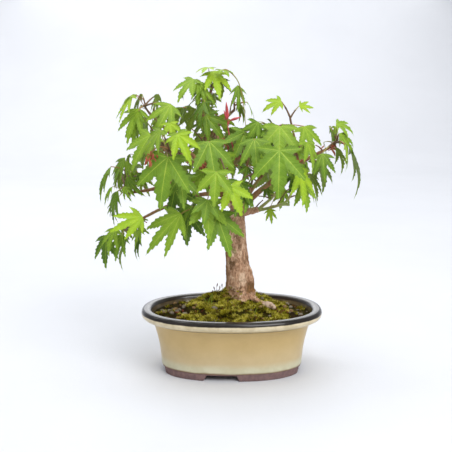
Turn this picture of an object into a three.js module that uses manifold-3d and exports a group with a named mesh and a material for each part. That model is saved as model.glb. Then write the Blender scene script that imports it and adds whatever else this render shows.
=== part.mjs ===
// Japanese maple bonsai in an oval glazed pot: pot, soil, trunk with its boughs, and the leaf masses.
// Millimetres, +Z up, the pot's feet stand on z = 0, the front of the plant faces -Y.
import * as THREE from "three";
import Module from "manifold-3d";

const wasm = await Module();
wasm.setup();

// Pot: an oval with slightly flattened sides, a flared body, a broad lip and a low ring of feet.
const POT_CENTRE = [4, 0];
const RIM_HALF_LENGTH = 81;
const RIM_HALF_DEPTH = 57;
// Exponent of the oval's outline: 2 would be an ellipse, and more is squarer.
const OVAL_SQUARENESS = 2.25;
const POT_SIDES = 36;
const FLOOR_UNDERSIDE = 6;
const FLOOR_TOP = 11;
// Outer and inner wall, each row the inset from the rim's outline and the height.
const OUTER_WALL = [
  [17.9, 6], [17.6, 9], [16.6, 22], [13.5, 36], [10.8, 44.5], [9.2, 46.4], [7, 47.2], [2.2, 49.4], [1, 51],
  [0, 54.6], [0.4, 56.4], [1.8, 57.3],
];
const INNER_WALL = [[6.6, 57.4], [8.8, 56], [10.6, 49.6], [16.5, 42], [22, 14], [24.4, FLOOR_TOP]];
const FOOT_OUTER_INSET = 18.6;
const FOOT_INNER_INSET = 26.4;
const FOOT_TOP = 7;
const FOOT_BEVEL = [0.6, 1];
// Cutting shapes go this far past the faces that they cut.
const CUT_PAST = 2;
const NOTCH_HALF_TOP = 13;
const NOTCH_HALF_BOTTOM = 17;
const NOTCH_TOP = 5.4;
const FRONT_NOTCH_SHIFT = -9;
const DRAIN_HOLE_RADIUS = 6.5;
const DRAIN_HOLE_SPACING = 30;
const DRAIN_HOLE_SIDES = 12;

// Soil: it fills the pot, rises to a mound round the trunk and carries cushions of moss.
const CLEAR = 0.3;
const SOIL_EDGE_HEIGHT = 50.8;
const SOIL_RINGS = 8;
// The mound and the cushions: place, width of the level top, reach of the slope round it, and height.
const SOIL_MOUND = [6, 14, 11, 42, 13];
const CUSHIONS = [
  [-52, -8, 2, 13, 3], [-38, -24, 2, 13, 3.5], [-36, 4, 2, 14, 4], [-21, -12, 2, 14, 4.5], [-18, -31, 2, 12, 3.5],
  [-12, 14, 2, 13, 3], [0, -20, 2, 13, 4], [8, -38, 2, 11, 3], [20, -26, 2, 13, 4], [34, -10, 2, 15, 5],
  [40, -27, 2, 11, 3], [56, -8, 2, 13, 3], [47, 10, 2, 13, 3.5], [32, 30, 2, 12, 3], [-18, 34, 2, 12, 3],
  [-42, 24, 2, 12, 3],
];

// Limbs: each runs through its points, and its radius changes evenly from row to row of `radii`.
// The first point lies inside the limb that it grows from.
const TRUNK_BASE_HEIGHT = 59;
const TRUNK_STEP = 6;
const LIMBS = {
  trunk: {
    sides: 16,
    radii: [13.6, 12.9, 11.2, 10.1, 9.6, 8.9, 7.6, 6.2],
    points: [[11.5, 15, TRUNK_BASE_HEIGHT], [11.3, 15, 68], [10.2, 14, 84], [8.8, 13, 100], [8, 12, 112],
      [7.8, 11, 124], [8.3, 10, 136], [9, 9.5, 145]],
  },
  trunk_upper: {
    sides: 10, radii: [5.4, 5, 4.5, 4, 3.5, 3],
    points: [[9, 9.5, 145], [-1, 9, 157], [-11, 9, 164], [-17.5, 9, 172], [-21.5, 9, 183], [-25, 9, 191]],
  },
  leader: {
    radii: [2.6, 1.3],
    points: [[-25, 9, 191], [-20, 8, 203], [-17.5, 8, 213], [-21, 8, 225], [-25, 8, 235]],
  },
  top_right_bough: { radii: [1.7, 1], points: [[-19.5, 8, 206], [-5, 12, 221], [4, 13, 230]] },
  right_stub: { radii: [3.6, 2.7], points: [[9, 9, 140], [19, 6, 143], [27, 3, 145]] },
  right_shoot: { radii: [1.5, 1.1], points: [[27, 3, 145], [39, -6, 157], [52, -17, 176]] },
  right_low_shoot: {
    radii: [1.5, 1.1], points: [[26, 3, 144], [41, 0, 148], [52, -2, 153], [57, -3, 162]],
  },
  far_right_bough: {
    radii: [3, 1.3], points: [[9, 11, 142], [34, 22, 163], [64, 12, 185], [90, 5, 200]],
  },
  upper_right_twig: {
    radii: [1.3, 0.9], points: [[63, 12, 184], [61, 9, 200], [56, 7, 221]],
  },
  mid_right_bough: {
    radii: [2.2, 1.2], points: [[-14, 9, 167], [8, 2, 188], [30, -6, 212]],
  },
  left_bough: {
    radii: [2.7, 1.1], points: [[-14, 9, 167], [-40, 8, 170], [-66, 5, 163], [-86, 3, 160]],
  },
  low_left_bough: {
    radii: [2.2, 1.1], points: [[-4, 9, 159], [-26, -6, 159], [-54, -16, 150], [-80, -18, 137]],
  },
  upper_left_bough: {
    radii: [2.2, 1.1], points: [[-22, 9, 184], [-44, 8, 206], [-66, 5, 228]],
  },
  front_left_bough: {
    radii: [2, 1.1], points: [[-19, 9, 176], [-30, -16, 190], [-40, -34, 198]],
  },
  front_bough: {
    radii: [1.9, 1.1], points: [[-9, 9, 163], [-8, -16, 178], [-4, -34, 190]],
  },
  low_front_shoot: { radii: [1.6, 1], points: [[2, 9, 154], [-8, -12, 153], [-20, -26, 152]] },
  front_right_bough: { radii: [2, 1.1], points: [[9, 9, 136], [16, -14, 154], [20, -34, 172]] },
  inner_right_bough: { radii: [2.4, 1.2], points: [[9, 10, 143], [15, 20, 170], [20, 26, 192]] },
  back_right_bough: { radii: [2.6, 1.2], points: [[8, 10, 138], [24, 40, 160], [38, 60, 176]] },
  back_bough: {
    radii: [2.3, 1.2], points: [[-16, 9, 170], [-10, 36, 194], [-8, 54, 210]],
  },
  back_left_bough: {
    radii: [2.3, 1.2], points: [[-21, 9, 181], [-44, 36, 190], [-60, 52, 194]],
  },
};
const BOUGH_SIDES = 6;
const PATH_STEP = 13;

// Root flare of the trunk and the root that runs over the soil.
const FLARE_HEIGHT = 16;
const FLARE_GROWTH = [0.182, 0.156];
const FLARE_LOBES = 5;
const FLARE_PHASE = 1;
const SURFACE_ROOT = [[18, 10, 66], [26, 1, 62.4], [33, -7, 60.6], [37.5, -11, 60]];
const SURFACE_ROOT_RADII = [5, 3.1];
const SURFACE_ROOT_STEP = 5;

// Leaf: five pointed lobes round the end of its stalk. Each row is the lobe's angle from the middle one
// and its length, as a share of the middle one's.
const LOBES = [[-98, 0.47], [-43, 0.82], [0, 1], [43, 0.82], [98, 0.47]];
const SINUS_RADII = [0.26, 0.36, 0.36, 0.26];
const SHOULDER_AT = 0.5;
const SHOULDER_HALF_WIDTH = 0.165;
const LEAF_THICKEST_AT = 0.12;
const LEAF_DROOP = 0.15;
const LEAF_THICKNESS = 1.2;
const STALK_RADIUS = 0.6;
const STALK_CORNERS = [-30, 90, 210];
const TWIG_RADII = [1, 0.7];

// Seeded numbers: each follows from the one before by a factor and a step, within the range.
const SEED_SPREAD = 7919;
const SEED_START = 12345;
const NUMBER_FACTOR = 1664525;
const NUMBER_STEP = 1013904223;
const NUMBER_RANGE = 4294967296;

// Growth rule shared by the leaf masses.
const CROWN_AXIS = [-3, 6];
const MASS_SPACING = 5;
const LIMB_SPACING = 2.4;
const LEAF_SPACING = 3.4;
const STALK_ARCH = 0.12;
const TWIG_ARCH = 0.14;
const SAMPLE_STEP = 6;
const LIMB_TEST_STEP = 3;
const SHOOT_TRIES = 40;
const PAIR_STEP = 16;
const MOST_PAIRS = 2;
const TWIG_PARTS = 4;
const STALK_PARTS = 2;
const STEM_PARTS = 3;
const GOLDEN_ANGLE = 137.5;
const STEM_RADII = [1.2, 0.9];
const STEM_STRAIGHT = 3;
// Seeded sizes, each the least value and the span above it. Lengths are shares of the mass's leaf length.
const PAIR_LEAF = [0.72, 0.36];
const SHOOT_LEAF = [0.75, 0.4];
const STALK_LENGTH = [0.3, 0.35];
const SHOOT_WIDTH = [0.45, 0.55];
// Seeded angles, each the full span about its middle.
const PAIR_SPANS = { turn: 70, hang: 36, lean: 60 };
const SHOOT_SPANS = { angle: 60, turn: 70, hang: 30, lean: 70 };
const PAIR_TURN = 35;
const PAIR_LEAN = 20;
const STALK_RISE = 0.3;
const CROWN_LOW = [-119.5, -81, 84];
const CROWN_HIGH = [118.5, 80, 270];

// Leaf masses. A mass grows from the tip of its limb along a stem to `end`. `leads` are the leaves that shape
// its outline: position, turn to the side that it faces, lean and length. More grow by the seeded rule, up to
// `most`, of about the length `leaf`.
const MASSES = [
  { name: "foliage_apex", limb: "leader", seed: 3, end: [-15, 5, 246], reach: [22, 24, 10], most: 8,
    leaf: 29, hang: 44,
    leads: [[-12, 0, 266, -80, 6, 30], [-29, -4, 259, -120, -18, 26], [-7, 14, 260, 70, 6, 22]] },
  { name: "foliage_top_right", limb: "top_right_bough", seed: 61, end: [6, 10, 238], reach: [14, 22, 10],
    most: 5, leaf: 27, hang: 66, leads: [[9, -2, 252, 10, 0, 34]] },
  { name: "foliage_upper_left", limb: "upper_left_bough", seed: 5, end: [-72, 3, 236], reach: [24, 30, 10],
    most: 7, leaf: 32, hang: 62,
    leads: [[-76, -4, 234, -110, -12, 34], [-75, 14, 246, 170, 15, 25], [-48, -12, 238, -80, -30, 33]] },
  { name: "foliage_left", limb: "left_bough", seed: 7, end: [-90, 2, 166], reach: [16, 32, 16], most: 8,
    leaf: 30, hang: 72,
    leads: [[-98, 0, 160, -150, 5, 29], [-89, -6, 192, -130, -20, 28], [-86, 28, 178, 150, 0, 29]] },
  { name: "foliage_low_left", limb: "low_left_bough", seed: 11, end: [-88, -16, 132], reach: [16, 24, 12],
    most: 7, leaf: 29, hang: 66,
    leads: [[-105, -12, 125, -125, 10, 31], [-90, -26, 128, -110, -10, 25], [-70, -50, 147, -80, -68, 31]] },
  { name: "foliage_front_left", limb: "front_left_bough", seed: 13, end: [-50, -48, 201], reach: [26, 18, 18],
    most: 7, leaf: 33, hang: 68, leads: [[-48, -58, 197, -95, -8, 44], [-44, -36, 168, -80, 25, 32]] },
  { name: "foliage_front", limb: "front_bough", seed: 17, end: [-8, -48, 200], reach: [24, 18, 20], most: 7,
    leaf: 32, hang: 66,
    leads: [[-15, -48, 209, -85, 8, 38], [-16, -64, 163, -85, -10, 22], [2, -64, 174, -80, 20, 27]] },
  { name: "foliage_low_front", limb: "low_front_shoot", seed: 19, end: [-26, -40, 152], reach: [26, 16, 8],
    most: 5, leaf: 30, hang: 68, leads: [[-38, -52, 149, -100, -34, 44], [-9, -48, 148, -80, 18, 38]] },
  { name: "foliage_front_right", limb: "front_right_bough", seed: 23, end: [22, -48, 186], reach: [20, 16, 20],
    most: 6, leaf: 29, hang: 68, leads: [[22, -44, 211, -80, 2, 32], [30, -50, 174, -85, 0, 22]] },
  { name: "foliage_right", limb: "right_shoot", seed: 29, end: [52, -40, 196], reach: [24, 18, 16], most: 6,
    leaf: 32, hang: 68, leads: [[44, -54, 197, -88, 0, 44], [62, -28, 172, -60, 10, 26]] },
  { name: "foliage_right_low", limb: "right_low_shoot", seed: 31, end: [60, 0, 176], reach: [20, 24, 12],
    most: 5, leaf: 27, hang: 66, leads: [[50, 16, 162, -70, -14, 20], [74, 12, 176, 30, 0, 28]] },
  { name: "foliage_mid_right", limb: "mid_right_bough", seed: 37, end: [38, -12, 219], reach: [26, 28, 8],
    most: 7, leaf: 32, hang: 62, leads: [[44, -26, 220, -85, -4, 38], [66, -8, 219, -60, 8, 30]] },
  { name: "foliage_far_right", limb: "far_right_bough", seed: 41, end: [96, 2, 206], reach: [14, 32, 12],
    most: 8, leaf: 30, hang: 68,
    leads: [[96, -10, 213, -50, 34, 28], [107, 4, 201, 0, 0, 46], [82, -10, 196, -90, 5, 26]] },
  { name: "foliage_upper_right", limb: "upper_right_twig", seed: 43, end: [55, 7, 226], reach: [10, 10, 6],
    most: 2, leaf: 22, hang: 50, leads: [[47, 4, 240, -110, -62, 20], [63, 8, 236, -70, 84, 15]] },
  { name: "foliage_inner_right", limb: "inner_right_bough", seed: 67, end: [22, 28, 198], reach: [32, 18, 14],
    most: 7, leaf: 31, hang: 48, leads: [[38, 26, 206, 20, 0, 30], [8, 36, 214, 80, 0, 27]] },
  { name: "foliage_back_right", limb: "back_right_bough", seed: 47, end: [44, 60, 188], reach: [38, 20, 20],
    most: 9, leaf: 33, hang: 64, leads: [[84, 48, 184, 35, 0, 32], [40, 66, 172, 75, 0, 32]] },
  { name: "foliage_back", limb: "back_bough", seed: 53, end: [-10, 56, 208], reach: [32, 22, 20], most: 9,
    leaf: 33, hang: 58, leads: [[-6, 65, 206, 95, 0, 31], [-28, 42, 232, 120, 10, 30]] },
  { name: "foliage_back_left", limb: "back_left_bough", seed: 59, end: [-64, 56, 202], reach: [28, 20, 24],
    most: 8, leaf: 33, hang: 64, leads: [[-86, 52, 180, 150, 0, 32], [-44, 66, 178, 110, 0, 32]] },
];

const GLAZE = { color: 0xbeac7d, roughness: 0.18, metalness: 0 };
const SOIL = { color: 0x5a5a28, roughness: 0.95, metalness: 0 };
const BARK = { color: 0x9a7a62, roughness: 0.85, metalness: 0 };
const LEAVES = { color: 0x7fb03c, roughness: 0.55, metalness: 0 };

const ALONG_X = new THREE.Vector3(1, 0, 0);
const ALONG_Y = new THREE.Vector3(0, 1, 0);

const radians = (degrees) => (degrees * Math.PI) / 180;
const plus = (a, b, k = 1) => a.map((value, i) => value + k * b[i]);
const distance = (a, b) => Math.hypot(a[0] - b[0], a[1] - b[1], a[2] - b[2]);

// Number source of the growth rule: each seed gives one fixed row of numbers from 0 to 1.
function numbers(seed) {
  let state = seed * SEED_SPREAD + SEED_START;
  return () => {
    state = (Math.imul(state, NUMBER_FACTOR) + NUMBER_STEP) >>> 0;
    return state / NUMBER_RANGE;
  };
}

// Closed solid from equal loops of points, with a flat fan at each end.
function skin(loops) {
  const sides = loops[0].length;
  const points = loops.flat();
  const faces = [];
  for (let row = 0; row + 1 < loops.length; row += 1) {
    for (let i = 0; i < sides; i += 1) {
      const a = row * sides + i;
      const b = row * sides + ((i + 1) % sides);
      faces.push([a, b, b + sides], [a, b + sides, a + sides]);
    }
  }
  const last = (loops.length - 1) * sides;
  for (let i = 1; i + 1 < sides; i += 1) {
    faces.push([0, i + 1, i], [last, last + i, last + i + 1]);
  }
  return solid(points, faces);
}

function solid(points, faces) {
  const mesh = new wasm.Mesh({
    numProp: 3,
    vertProperties: new Float32Array(points.flat()),
    triVerts: new Uint32Array(faces.flat()),
  });
  return new wasm.Manifold(mesh);
}

// Smooth path through the points, sampled evenly.
function smoothPath(points, step) {
  const curve = new THREE.CatmullRomCurve3(points.map((p) => new THREE.Vector3(...p)), false, "centripetal");
  const count = Math.max(2, Math.round(curve.getLength() / step));
  return curve.getPoints(count).map((p) => p.toArray());
}

// Radius at a share of a limb's length: it changes evenly from row to row of the radii.
function radiusAt(radii, share) {
  const place = share * (radii.length - 1);
  const row = Math.min(Math.floor(place), radii.length - 2);
  return radii[row] + (radii[row + 1] - radii[row]) * (place - row);
}

// Limb: loops square to the path. `extra` makes it thicker and longer at both ends.
function limbLoops(path, radii, sides, extra) {
  const loops = [];
  let side = new THREE.Vector3(0, -1, 0);
  path.forEach((point, i) => {
    const before = path[Math.max(i - 1, 0)];
    const after = path[Math.min(i + 1, path.length - 1)];
    const along = new THREE.Vector3(...plus(after, before, -1)).normalize();
    side = side.clone().addScaledVector(along, -side.dot(along)).normalize();
    const across = along.clone().cross(side);
    const shift = i === 0 ? -extra : i === path.length - 1 ? extra : 0;
    const radius = radiusAt(radii, i / (path.length - 1)) + extra;
    loops.push(ring(plus(point, along.toArray(), shift), side, across, sides, () => radius));
  });
  return loops;
}

function ring(centre, side, across, sides, radiusFor) {
  const points = [];
  for (let i = 0; i < sides; i += 1) {
    const angle = (2 * Math.PI * i) / sides;
    const radius = radiusFor(angle);
    const offset = side.clone().multiplyScalar(radius * Math.cos(angle));
    offset.addScaledVector(across, radius * Math.sin(angle));
    points.push(plus(centre, offset.toArray()));
  }
  return points;
}

// Trunk: level rings, with the root flare near the ground, and the surface root.
function trunkSolid(extra) {
  const { points, radii, sides } = LIMBS.trunk;
  const path = smoothPath(points, TRUNK_STEP);
  const loops = path.map((point, i) => {
    const radius = radiusAt(radii, i / (path.length - 1)) + extra;
    const low = Math.max(0, 1 - (point[2] - TRUNK_BASE_HEIGHT) / FLARE_HEIGHT);
    const shift = i === 0 ? -extra : i === path.length - 1 ? extra : 0;
    const level = [point[0], point[1], point[2] + shift];
    const wave = (angle) => FLARE_GROWTH[1] * Math.cos(FLARE_LOBES * angle + FLARE_PHASE);
    const flared = (angle) => radius * (1 + low * low * (FLARE_GROWTH[0] + wave(angle)));
    return ring(level, ALONG_X, ALONG_Y, sides, flared);
  });
  const rootPath = smoothPath(SURFACE_ROOT, SURFACE_ROOT_STEP);
  const root = skin(limbLoops(rootPath, SURFACE_ROOT_RADII, BOUGH_SIDES, extra));
  return skin(loops).add(root);
}

function limbSolid(name, extra = 0) {
  if (name === "trunk") {
    return trunkSolid(extra);
  }
  const { points, radii, sides = BOUGH_SIDES } = LIMBS[name];
  return skin(limbLoops(smoothPath(points, PATH_STEP), radii, sides, extra));
}

// Cosine or sine of the oval, drawn out towards the corners.
const squarer = (value) => Math.sign(value) * Math.abs(value) ** (2 / OVAL_SQUARENESS);

function ovalLoop(inset, height) {
  const points = [];
  for (let i = 0; i < POT_SIDES; i += 1) {
    const angle = (2 * Math.PI * i) / POT_SIDES;
    points.push([
      POT_CENTRE[0] + (RIM_HALF_LENGTH - inset) * squarer(Math.cos(angle)),
      POT_CENTRE[1] + (RIM_HALF_DEPTH - inset) * squarer(Math.sin(angle)),
      height,
    ]);
  }
  return points;
}

// Notch in the ring of feet: a bar with slanting sides, laid through the ring.
function notch(shift, length, alongX) {
  const bottom = [[-NOTCH_HALF_BOTTOM, -CUT_PAST], [NOTCH_HALF_BOTTOM, -CUT_PAST]];
  const section = [...bottom, [NOTCH_HALF_TOP, NOTCH_TOP], [-NOTCH_HALF_TOP, NOTCH_TOP]];
  const loopAt = (place) => section.map(([across, height]) => (alongX
    ? [POT_CENTRE[0] + place, POT_CENTRE[1] + across + shift, height]
    : [POT_CENTRE[0] + across + shift, POT_CENTRE[1] - place, height]));
  return skin([loopAt(-length), loopAt(length)]);
}

function drainHole(shift) {
  const centre = (height) => [POT_CENTRE[0] + shift, POT_CENTRE[1], height];
  const loopAt = (height) => ring(centre(height), ALONG_X, ALONG_Y, DRAIN_HOLE_SIDES, () => DRAIN_HOLE_RADIUS);
  return skin([loopAt(FLOOR_UNDERSIDE - CUT_PAST), loopAt(FLOOR_TOP + CUT_PAST)]);
}

function potSolid() {
  const profile = [...OUTER_WALL, ...INNER_WALL];
  const body = skin(profile.map(([inset, height]) => ovalLoop(inset, height)));
  const [bevelWidth, bevelHeight] = FOOT_BEVEL;
  const footOuter = skin([
    ovalLoop(FOOT_OUTER_INSET + bevelWidth, 0),
    ovalLoop(FOOT_OUTER_INSET, bevelHeight),
    ovalLoop(FOOT_OUTER_INSET, FOOT_TOP),
  ]);
  const footInner = skin([ovalLoop(FOOT_INNER_INSET, -CUT_PAST), ovalLoop(FOOT_INNER_INSET, FLOOR_UNDERSIDE)]);
  let feet = footOuter.subtract(footInner);
  feet = feet.subtract(notch(FRONT_NOTCH_SHIFT, RIM_HALF_DEPTH, false));
  feet = feet.subtract(notch(0, RIM_HALF_LENGTH, true));
  return body.add(feet).subtract(drainHole(-DRAIN_HOLE_SPACING)).subtract(drainHole(DRAIN_HOLE_SPACING));
}

// Height of the soil: smooth hills on a level ground.
function soilHeight(x, y) {
  return [SOIL_MOUND, ...CUSHIONS].reduce((sum, [placeX, placeY, top, reach, height]) => {
    const gap = Math.max(0, Math.hypot(x - placeX, y - placeY) - top);
    const share = Math.max(0, 1 - gap / reach);
    return sum + height * share * share * (3 - 2 * share);
  }, SOIL_EDGE_HEIGHT);
}

// Soil: it follows the inner wall at a small clearance, with the sockets of the trunk and its root cut in.
function soilSolid() {
  const wall = INNER_WALL.slice(2).reverse();
  const lift = (height) => (height === FLOOR_TOP ? CLEAR : 0);
  const loops = wall.map(([inset, height]) => ovalLoop(inset + CLEAR, height + lift(height)));
  const edgeInset = INNER_WALL[2][0] + CLEAR;
  for (let row = 0; row < SOIL_RINGS; row += 1) {
    const share = row / SOIL_RINGS;
    const loop = ovalLoop(edgeInset, 0).map(([x, y]) => {
      const px = SOIL_MOUND[0] + (x - SOIL_MOUND[0]) * (1 - share);
      const py = SOIL_MOUND[1] + (y - SOIL_MOUND[1]) * (1 - share);
      return [px, py, soilHeight(px, py)];
    });
    loops.push(loop);
  }
  return skin(loops).subtract(limbSolid("trunk", CLEAR));
}

// Frame of a leaf that faces `turn`, hangs down by `hang` and leans sideways by `lean`.
function leafFrame(turn, hang, lean) {
  const t = radians(turn);
  const h = radians(hang);
  const l = radians(lean);
  const out = [Math.cos(t), Math.sin(t), 0];
  const level = [-Math.sin(t), Math.cos(t), 0];
  const down = [out[0] * Math.cos(h), out[1] * Math.cos(h), -Math.sin(h)];
  const face = [out[0] * Math.sin(h), out[1] * Math.sin(h), Math.cos(h)];
  const axis = down.map((value, i) => value * Math.cos(l) + level[i] * Math.sin(l));
  const side = [
    face[1] * axis[2] - face[2] * axis[1],
    face[2] * axis[0] - face[0] * axis[2],
    face[0] * axis[1] - face[1] * axis[0],
  ];
  return { axis, side, face };
}

// Point of a leaf at a distance from its stalk, as a share of its length, and an angle from its axis.
function leafPoint(leaf, share, angle, lift = 0) {
  const forward = share * Math.cos(angle) * leaf.length;
  const sideways = share * Math.sin(angle) * leaf.length;
  const rise = lift - LEAF_DROOP * share * share * leaf.length;
  let point = plus(leaf.at, leaf.frame.axis, forward);
  point = plus(point, leaf.frame.side, sideways);
  return plus(point, leaf.frame.face, rise);
}

// Outline of a leaf as pairs of share and angle, round all lobes from one side of the stalk to the other.
function leafOutline() {
  const outline = [];
  LOBES.forEach(([degrees, length], i) => {
    const angle = radians(degrees);
    const reach = length * Math.hypot(SHOULDER_AT, SHOULDER_HALF_WIDTH);
    const swing = Math.atan2(SHOULDER_HALF_WIDTH, SHOULDER_AT);
    outline.push([reach, angle - swing], [length, angle], [reach, angle + swing]);
    if (i + 1 < LOBES.length) {
      outline.push([SINUS_RADII[i], radians((degrees + LOBES[i + 1][0]) / 2)]);
    }
  });
  return outline;
}

// Three-sided loops of a stalk, turned so that the last one fits the heel of its leaf.
function stalkLoops({ line, radii, leaf }) {
  const vectors = line.map((point) => new THREE.Vector3(...point));
  const loops = [];
  let side = new THREE.Vector3(...leaf.frame.side);
  for (let i = line.length - 1; i >= 0; i -= 1) {
    const along = vectors[i].clone().sub(vectors[Math.max(i - 1, 0)]).normalize();
    const ahead = i + 1 === line.length
      ? new THREE.Vector3(...leaf.frame.axis)
      : vectors[i + 1].clone().sub(vectors[i]).normalize();
    along.add(ahead).normalize();
    side = side.clone().addScaledVector(along, -side.dot(along)).normalize();
    const across = along.clone().cross(side);
    const radius = radiusAt(radii, i / (line.length - 1));
    loops.unshift(STALK_CORNERS.map((degrees) => {
      const offset = side.clone().multiplyScalar(radius * Math.cos(radians(degrees)));
      return plus(line[i], offset.addScaledVector(across, radius * Math.sin(radians(degrees))).toArray());
    }));
  }
  return loops;
}

// Leaf on its stalk, one closed solid. The blade is a thin lens, thickest near the stalk and sharp all round.
function leafSolid(sprig) {
  const { leaf } = sprig;
  const loops = stalkLoops(sprig);
  const faces = [[0, 2, 1]];
  for (let row = 0; row + 1 < loops.length; row += 1) {
    for (let i = 0; i < 3; i += 1) {
      const a = row * 3 + i;
      const b = row * 3 + ((i + 1) % 3);
      faces.push([a, b, b + 3], [a, b + 3, a + 3]);
    }
  }
  const [left, above, right] = [3, 2, 1].map((k) => loops.length * 3 - k);
  const outline = leafOutline();
  const rim = outline.map((_, i) => loops.length * 3 + i);
  const top = loops.length * 3 + outline.length;
  const bottom = top + 1;
  const upperEdge = [right, ...rim, left, above, right];
  const lowerEdge = [right, ...rim, left, right];
  upperEdge.slice(1).forEach((point, i) => faces.push([top, upperEdge[i], point]));
  lowerEdge.slice(1).forEach((point, i) => faces.push([bottom, point, lowerEdge[i]]));
  const points = [...loops.flat(), ...outline.map(([share, angle]) => leafPoint(leaf, share, angle))];
  points.push(leafPoint(leaf, LEAF_THICKEST_AT, 0, LEAF_THICKNESS / 2));
  points.push(leafPoint(leaf, LEAF_THICKEST_AT, 0, -LEAF_THICKNESS / 2));
  return solid(points, faces);
}

// Twig or stalk: an arched line from start to end.
function arch(start, end, rise, count) {
  const middle = [(start[0] + end[0]) / 2, (start[1] + end[1]) / 2, (start[2] + end[2]) / 2 + rise];
  const points = [];
  for (let i = 0; i <= count; i += 1) {
    const t = i / count;
    const weights = [(1 - t) * (1 - t), 2 * t * (1 - t), t * t];
    points.push(start.map((value, k) => weights[0] * value + weights[1] * middle[k] + weights[2] * end[k]));
  }
  return points;
}

// Points spaced along a line, for the spacing tests.
function spread(line, step) {
  const points = [];
  for (let i = 0; i + 1 < line.length; i += 1) {
    const parts = Math.max(1, Math.ceil(distance(line[i], line[i + 1]) / step));
    for (let k = 1; k <= parts; k += 1) {
      points.push(plus(line[i], plus(line[i + 1], line[i], -1), k / parts));
    }
  }
  return points;
}

function leafSamples(leaf) {
  const points = [leaf.at];
  LOBES.forEach(([degrees, length]) => {
    const angle = radians(degrees);
    const parts = Math.ceil((length * leaf.length) / SAMPLE_STEP);
    for (let k = 1; k <= parts; k += 1) {
      points.push(leafPoint(leaf, (length * k) / parts, angle));
    }
    const reach = length * Math.hypot(SHOULDER_AT, SHOULDER_HALF_WIDTH);
    const swing = Math.atan2(SHOULDER_HALF_WIDTH, SHOULDER_AT);
    points.push(leafPoint(leaf, reach, angle - swing), leafPoint(leaf, reach, angle + swing));
  });
  return points;
}

const inCrown = (p) => p.every((value, i) => value > CROWN_LOW[i] && value < CROWN_HIGH[i]);

// Points of all limbs with their radii, for the spacing tests.
const limbPoints = Object.values(LIMBS).flatMap(({ points, radii }) => {
  const path = smoothPath(points, LIMB_TEST_STEP);
  return path.map((at, i) => ({ at, radius: radiusAt(radii, i / (path.length - 1)) }));
});

const clearOfLimbs = (points) => points.every((p) => limbPoints.every(
  ({ at, radius }) => distance(p, at) > radius + LIMB_SPACING,
));

// Crown: all masses grow in one space. A twig or leaf that would touch another mass or a limb is skipped.
const crown = MASSES.map((mass) => ({ ...mass, sprigs: [], lines: [], blades: [] }));

const apart = (points, others, spacing) => points.every((p) => others.every((q) => distance(p, q) > spacing));

// Room for a twig with a leaf at its end: it stays apart from the limbs and from all other masses, and its
// blade also from the other blades of its own mass.
function fits(mass, line, blade) {
  const points = [...line, ...blade];
  return points.every(inCrown) && clearOfLimbs(points) && apart(blade, mass.blades, LEAF_SPACING)
    && crown.every((other) => other === mass
      || (apart(points, other.lines, MASS_SPACING) && apart(points, other.blades, MASS_SPACING)));
}

// Twig with a leaf at its end. A leaf that is not wanted in any case is kept only where it fits.
function addTwig(mass, twig, leaf, wanted) {
  const line = spread(twig.line, SAMPLE_STEP).slice(1);
  const blade = leafSamples(leaf);
  const kept = wanted || fits(mass, line, blade);
  if (kept) {
    mass.sprigs.push({ ...twig, leaf });
    mass.lines.push(...line);
    mass.blades.push(...blade);
  }
  return kept;
}

function outwardTurn(point) {
  return (Math.atan2(point[1] - CROWN_AXIS[1], point[0] - CROWN_AXIS[0]) * 180) / Math.PI;
}

const above = ([least, span], number) => least + span * number;
const about = (span, number) => (number - 0.5) * span;

// Two leaves that stand opposite each other on a shoot.
function addPair(mass, node) {
  for (const side of [-1, 1]) {
    const [size, swing, reach, drop, tilt] = Array.from({ length: 5 }, mass.next);
    const length = mass.leaf * above(PAIR_LEAF, size);
    const turn = outwardTurn(node) + side * PAIR_TURN + about(PAIR_SPANS.turn, swing);
    const stalkTurn = radians(turn + side * PAIR_TURN);
    const stalk = length * above(STALK_LENGTH, reach);
    const at = plus(node, [Math.cos(stalkTurn), Math.sin(stalkTurn), STALK_RISE], stalk);
    const hang = mass.hang + about(PAIR_SPANS.hang, drop);
    const lean = side * PAIR_LEAN + about(PAIR_SPANS.lean, tilt);
    const leaf = { at, length, frame: leafFrame(turn, hang, lean) };
    const line = arch(node, leaf.at, stalk * STALK_ARCH, STALK_PARTS);
    addTwig(mass, { line, radii: [STALK_RADIUS, STALK_RADIUS] }, leaf, false);
  }
}

// Shoot from the stem to its last leaf, with pairs of leaves on the way.
function addShoot(mass, start, leaf, wanted) {
  const reach = distance(start, leaf.at);
  const line = arch(start, leaf.at, reach * TWIG_ARCH, TWIG_PARTS);
  if (addTwig(mass, { line, radii: TWIG_RADII }, leaf, wanted)) {
    mass.shootLines.push(line);
  }
}

// Pairs of leaves on the stem and on all its shoots.
function addPairs(mass) {
  for (const line of [mass.stem, ...mass.shootLines]) {
    const reach = distance(line[0], line[line.length - 1]);
    const pairs = Math.min(MOST_PAIRS, Math.floor(reach / PAIR_STEP));
    for (let i = 1; i <= pairs; i += 1) {
      addPair(mass, line[Math.round(((line.length - 1) * i) / (pairs + 1))]);
    }
  }
}

// Stem of a mass: it goes on from the tip of its limb, a small clearance away.
function stemLine(mass) {
  const path = smoothPath(LIMBS[mass.limb].points, PATH_STEP);
  const tip = path[path.length - 1];
  const before = path[path.length - 2];
  const along = plus(tip, before, -1).map((value) => value / distance(tip, before));
  const start = plus(tip, along, CLEAR);
  return [start, ...arch(plus(start, along, STEM_STRAIGHT), mass.end, 0, STEM_PARTS)];
}

function addLeads(mass) {
  mass.stem = stemLine(mass);
  mass.shootLines = [];
  mass.lines.push(...spread(mass.stem, SAMPLE_STEP));
  mass.next = numbers(mass.seed);
  mass.leads.forEach(([x, y, z, turn, lean, length], i) => {
    const leaf = { at: [x, y, z], length, frame: leafFrame(turn, mass.hang, lean) };
    addShoot(mass, mass.stem[mass.stem.length - 1 - (i % 2)], leaf, true);
  });
}

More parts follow.
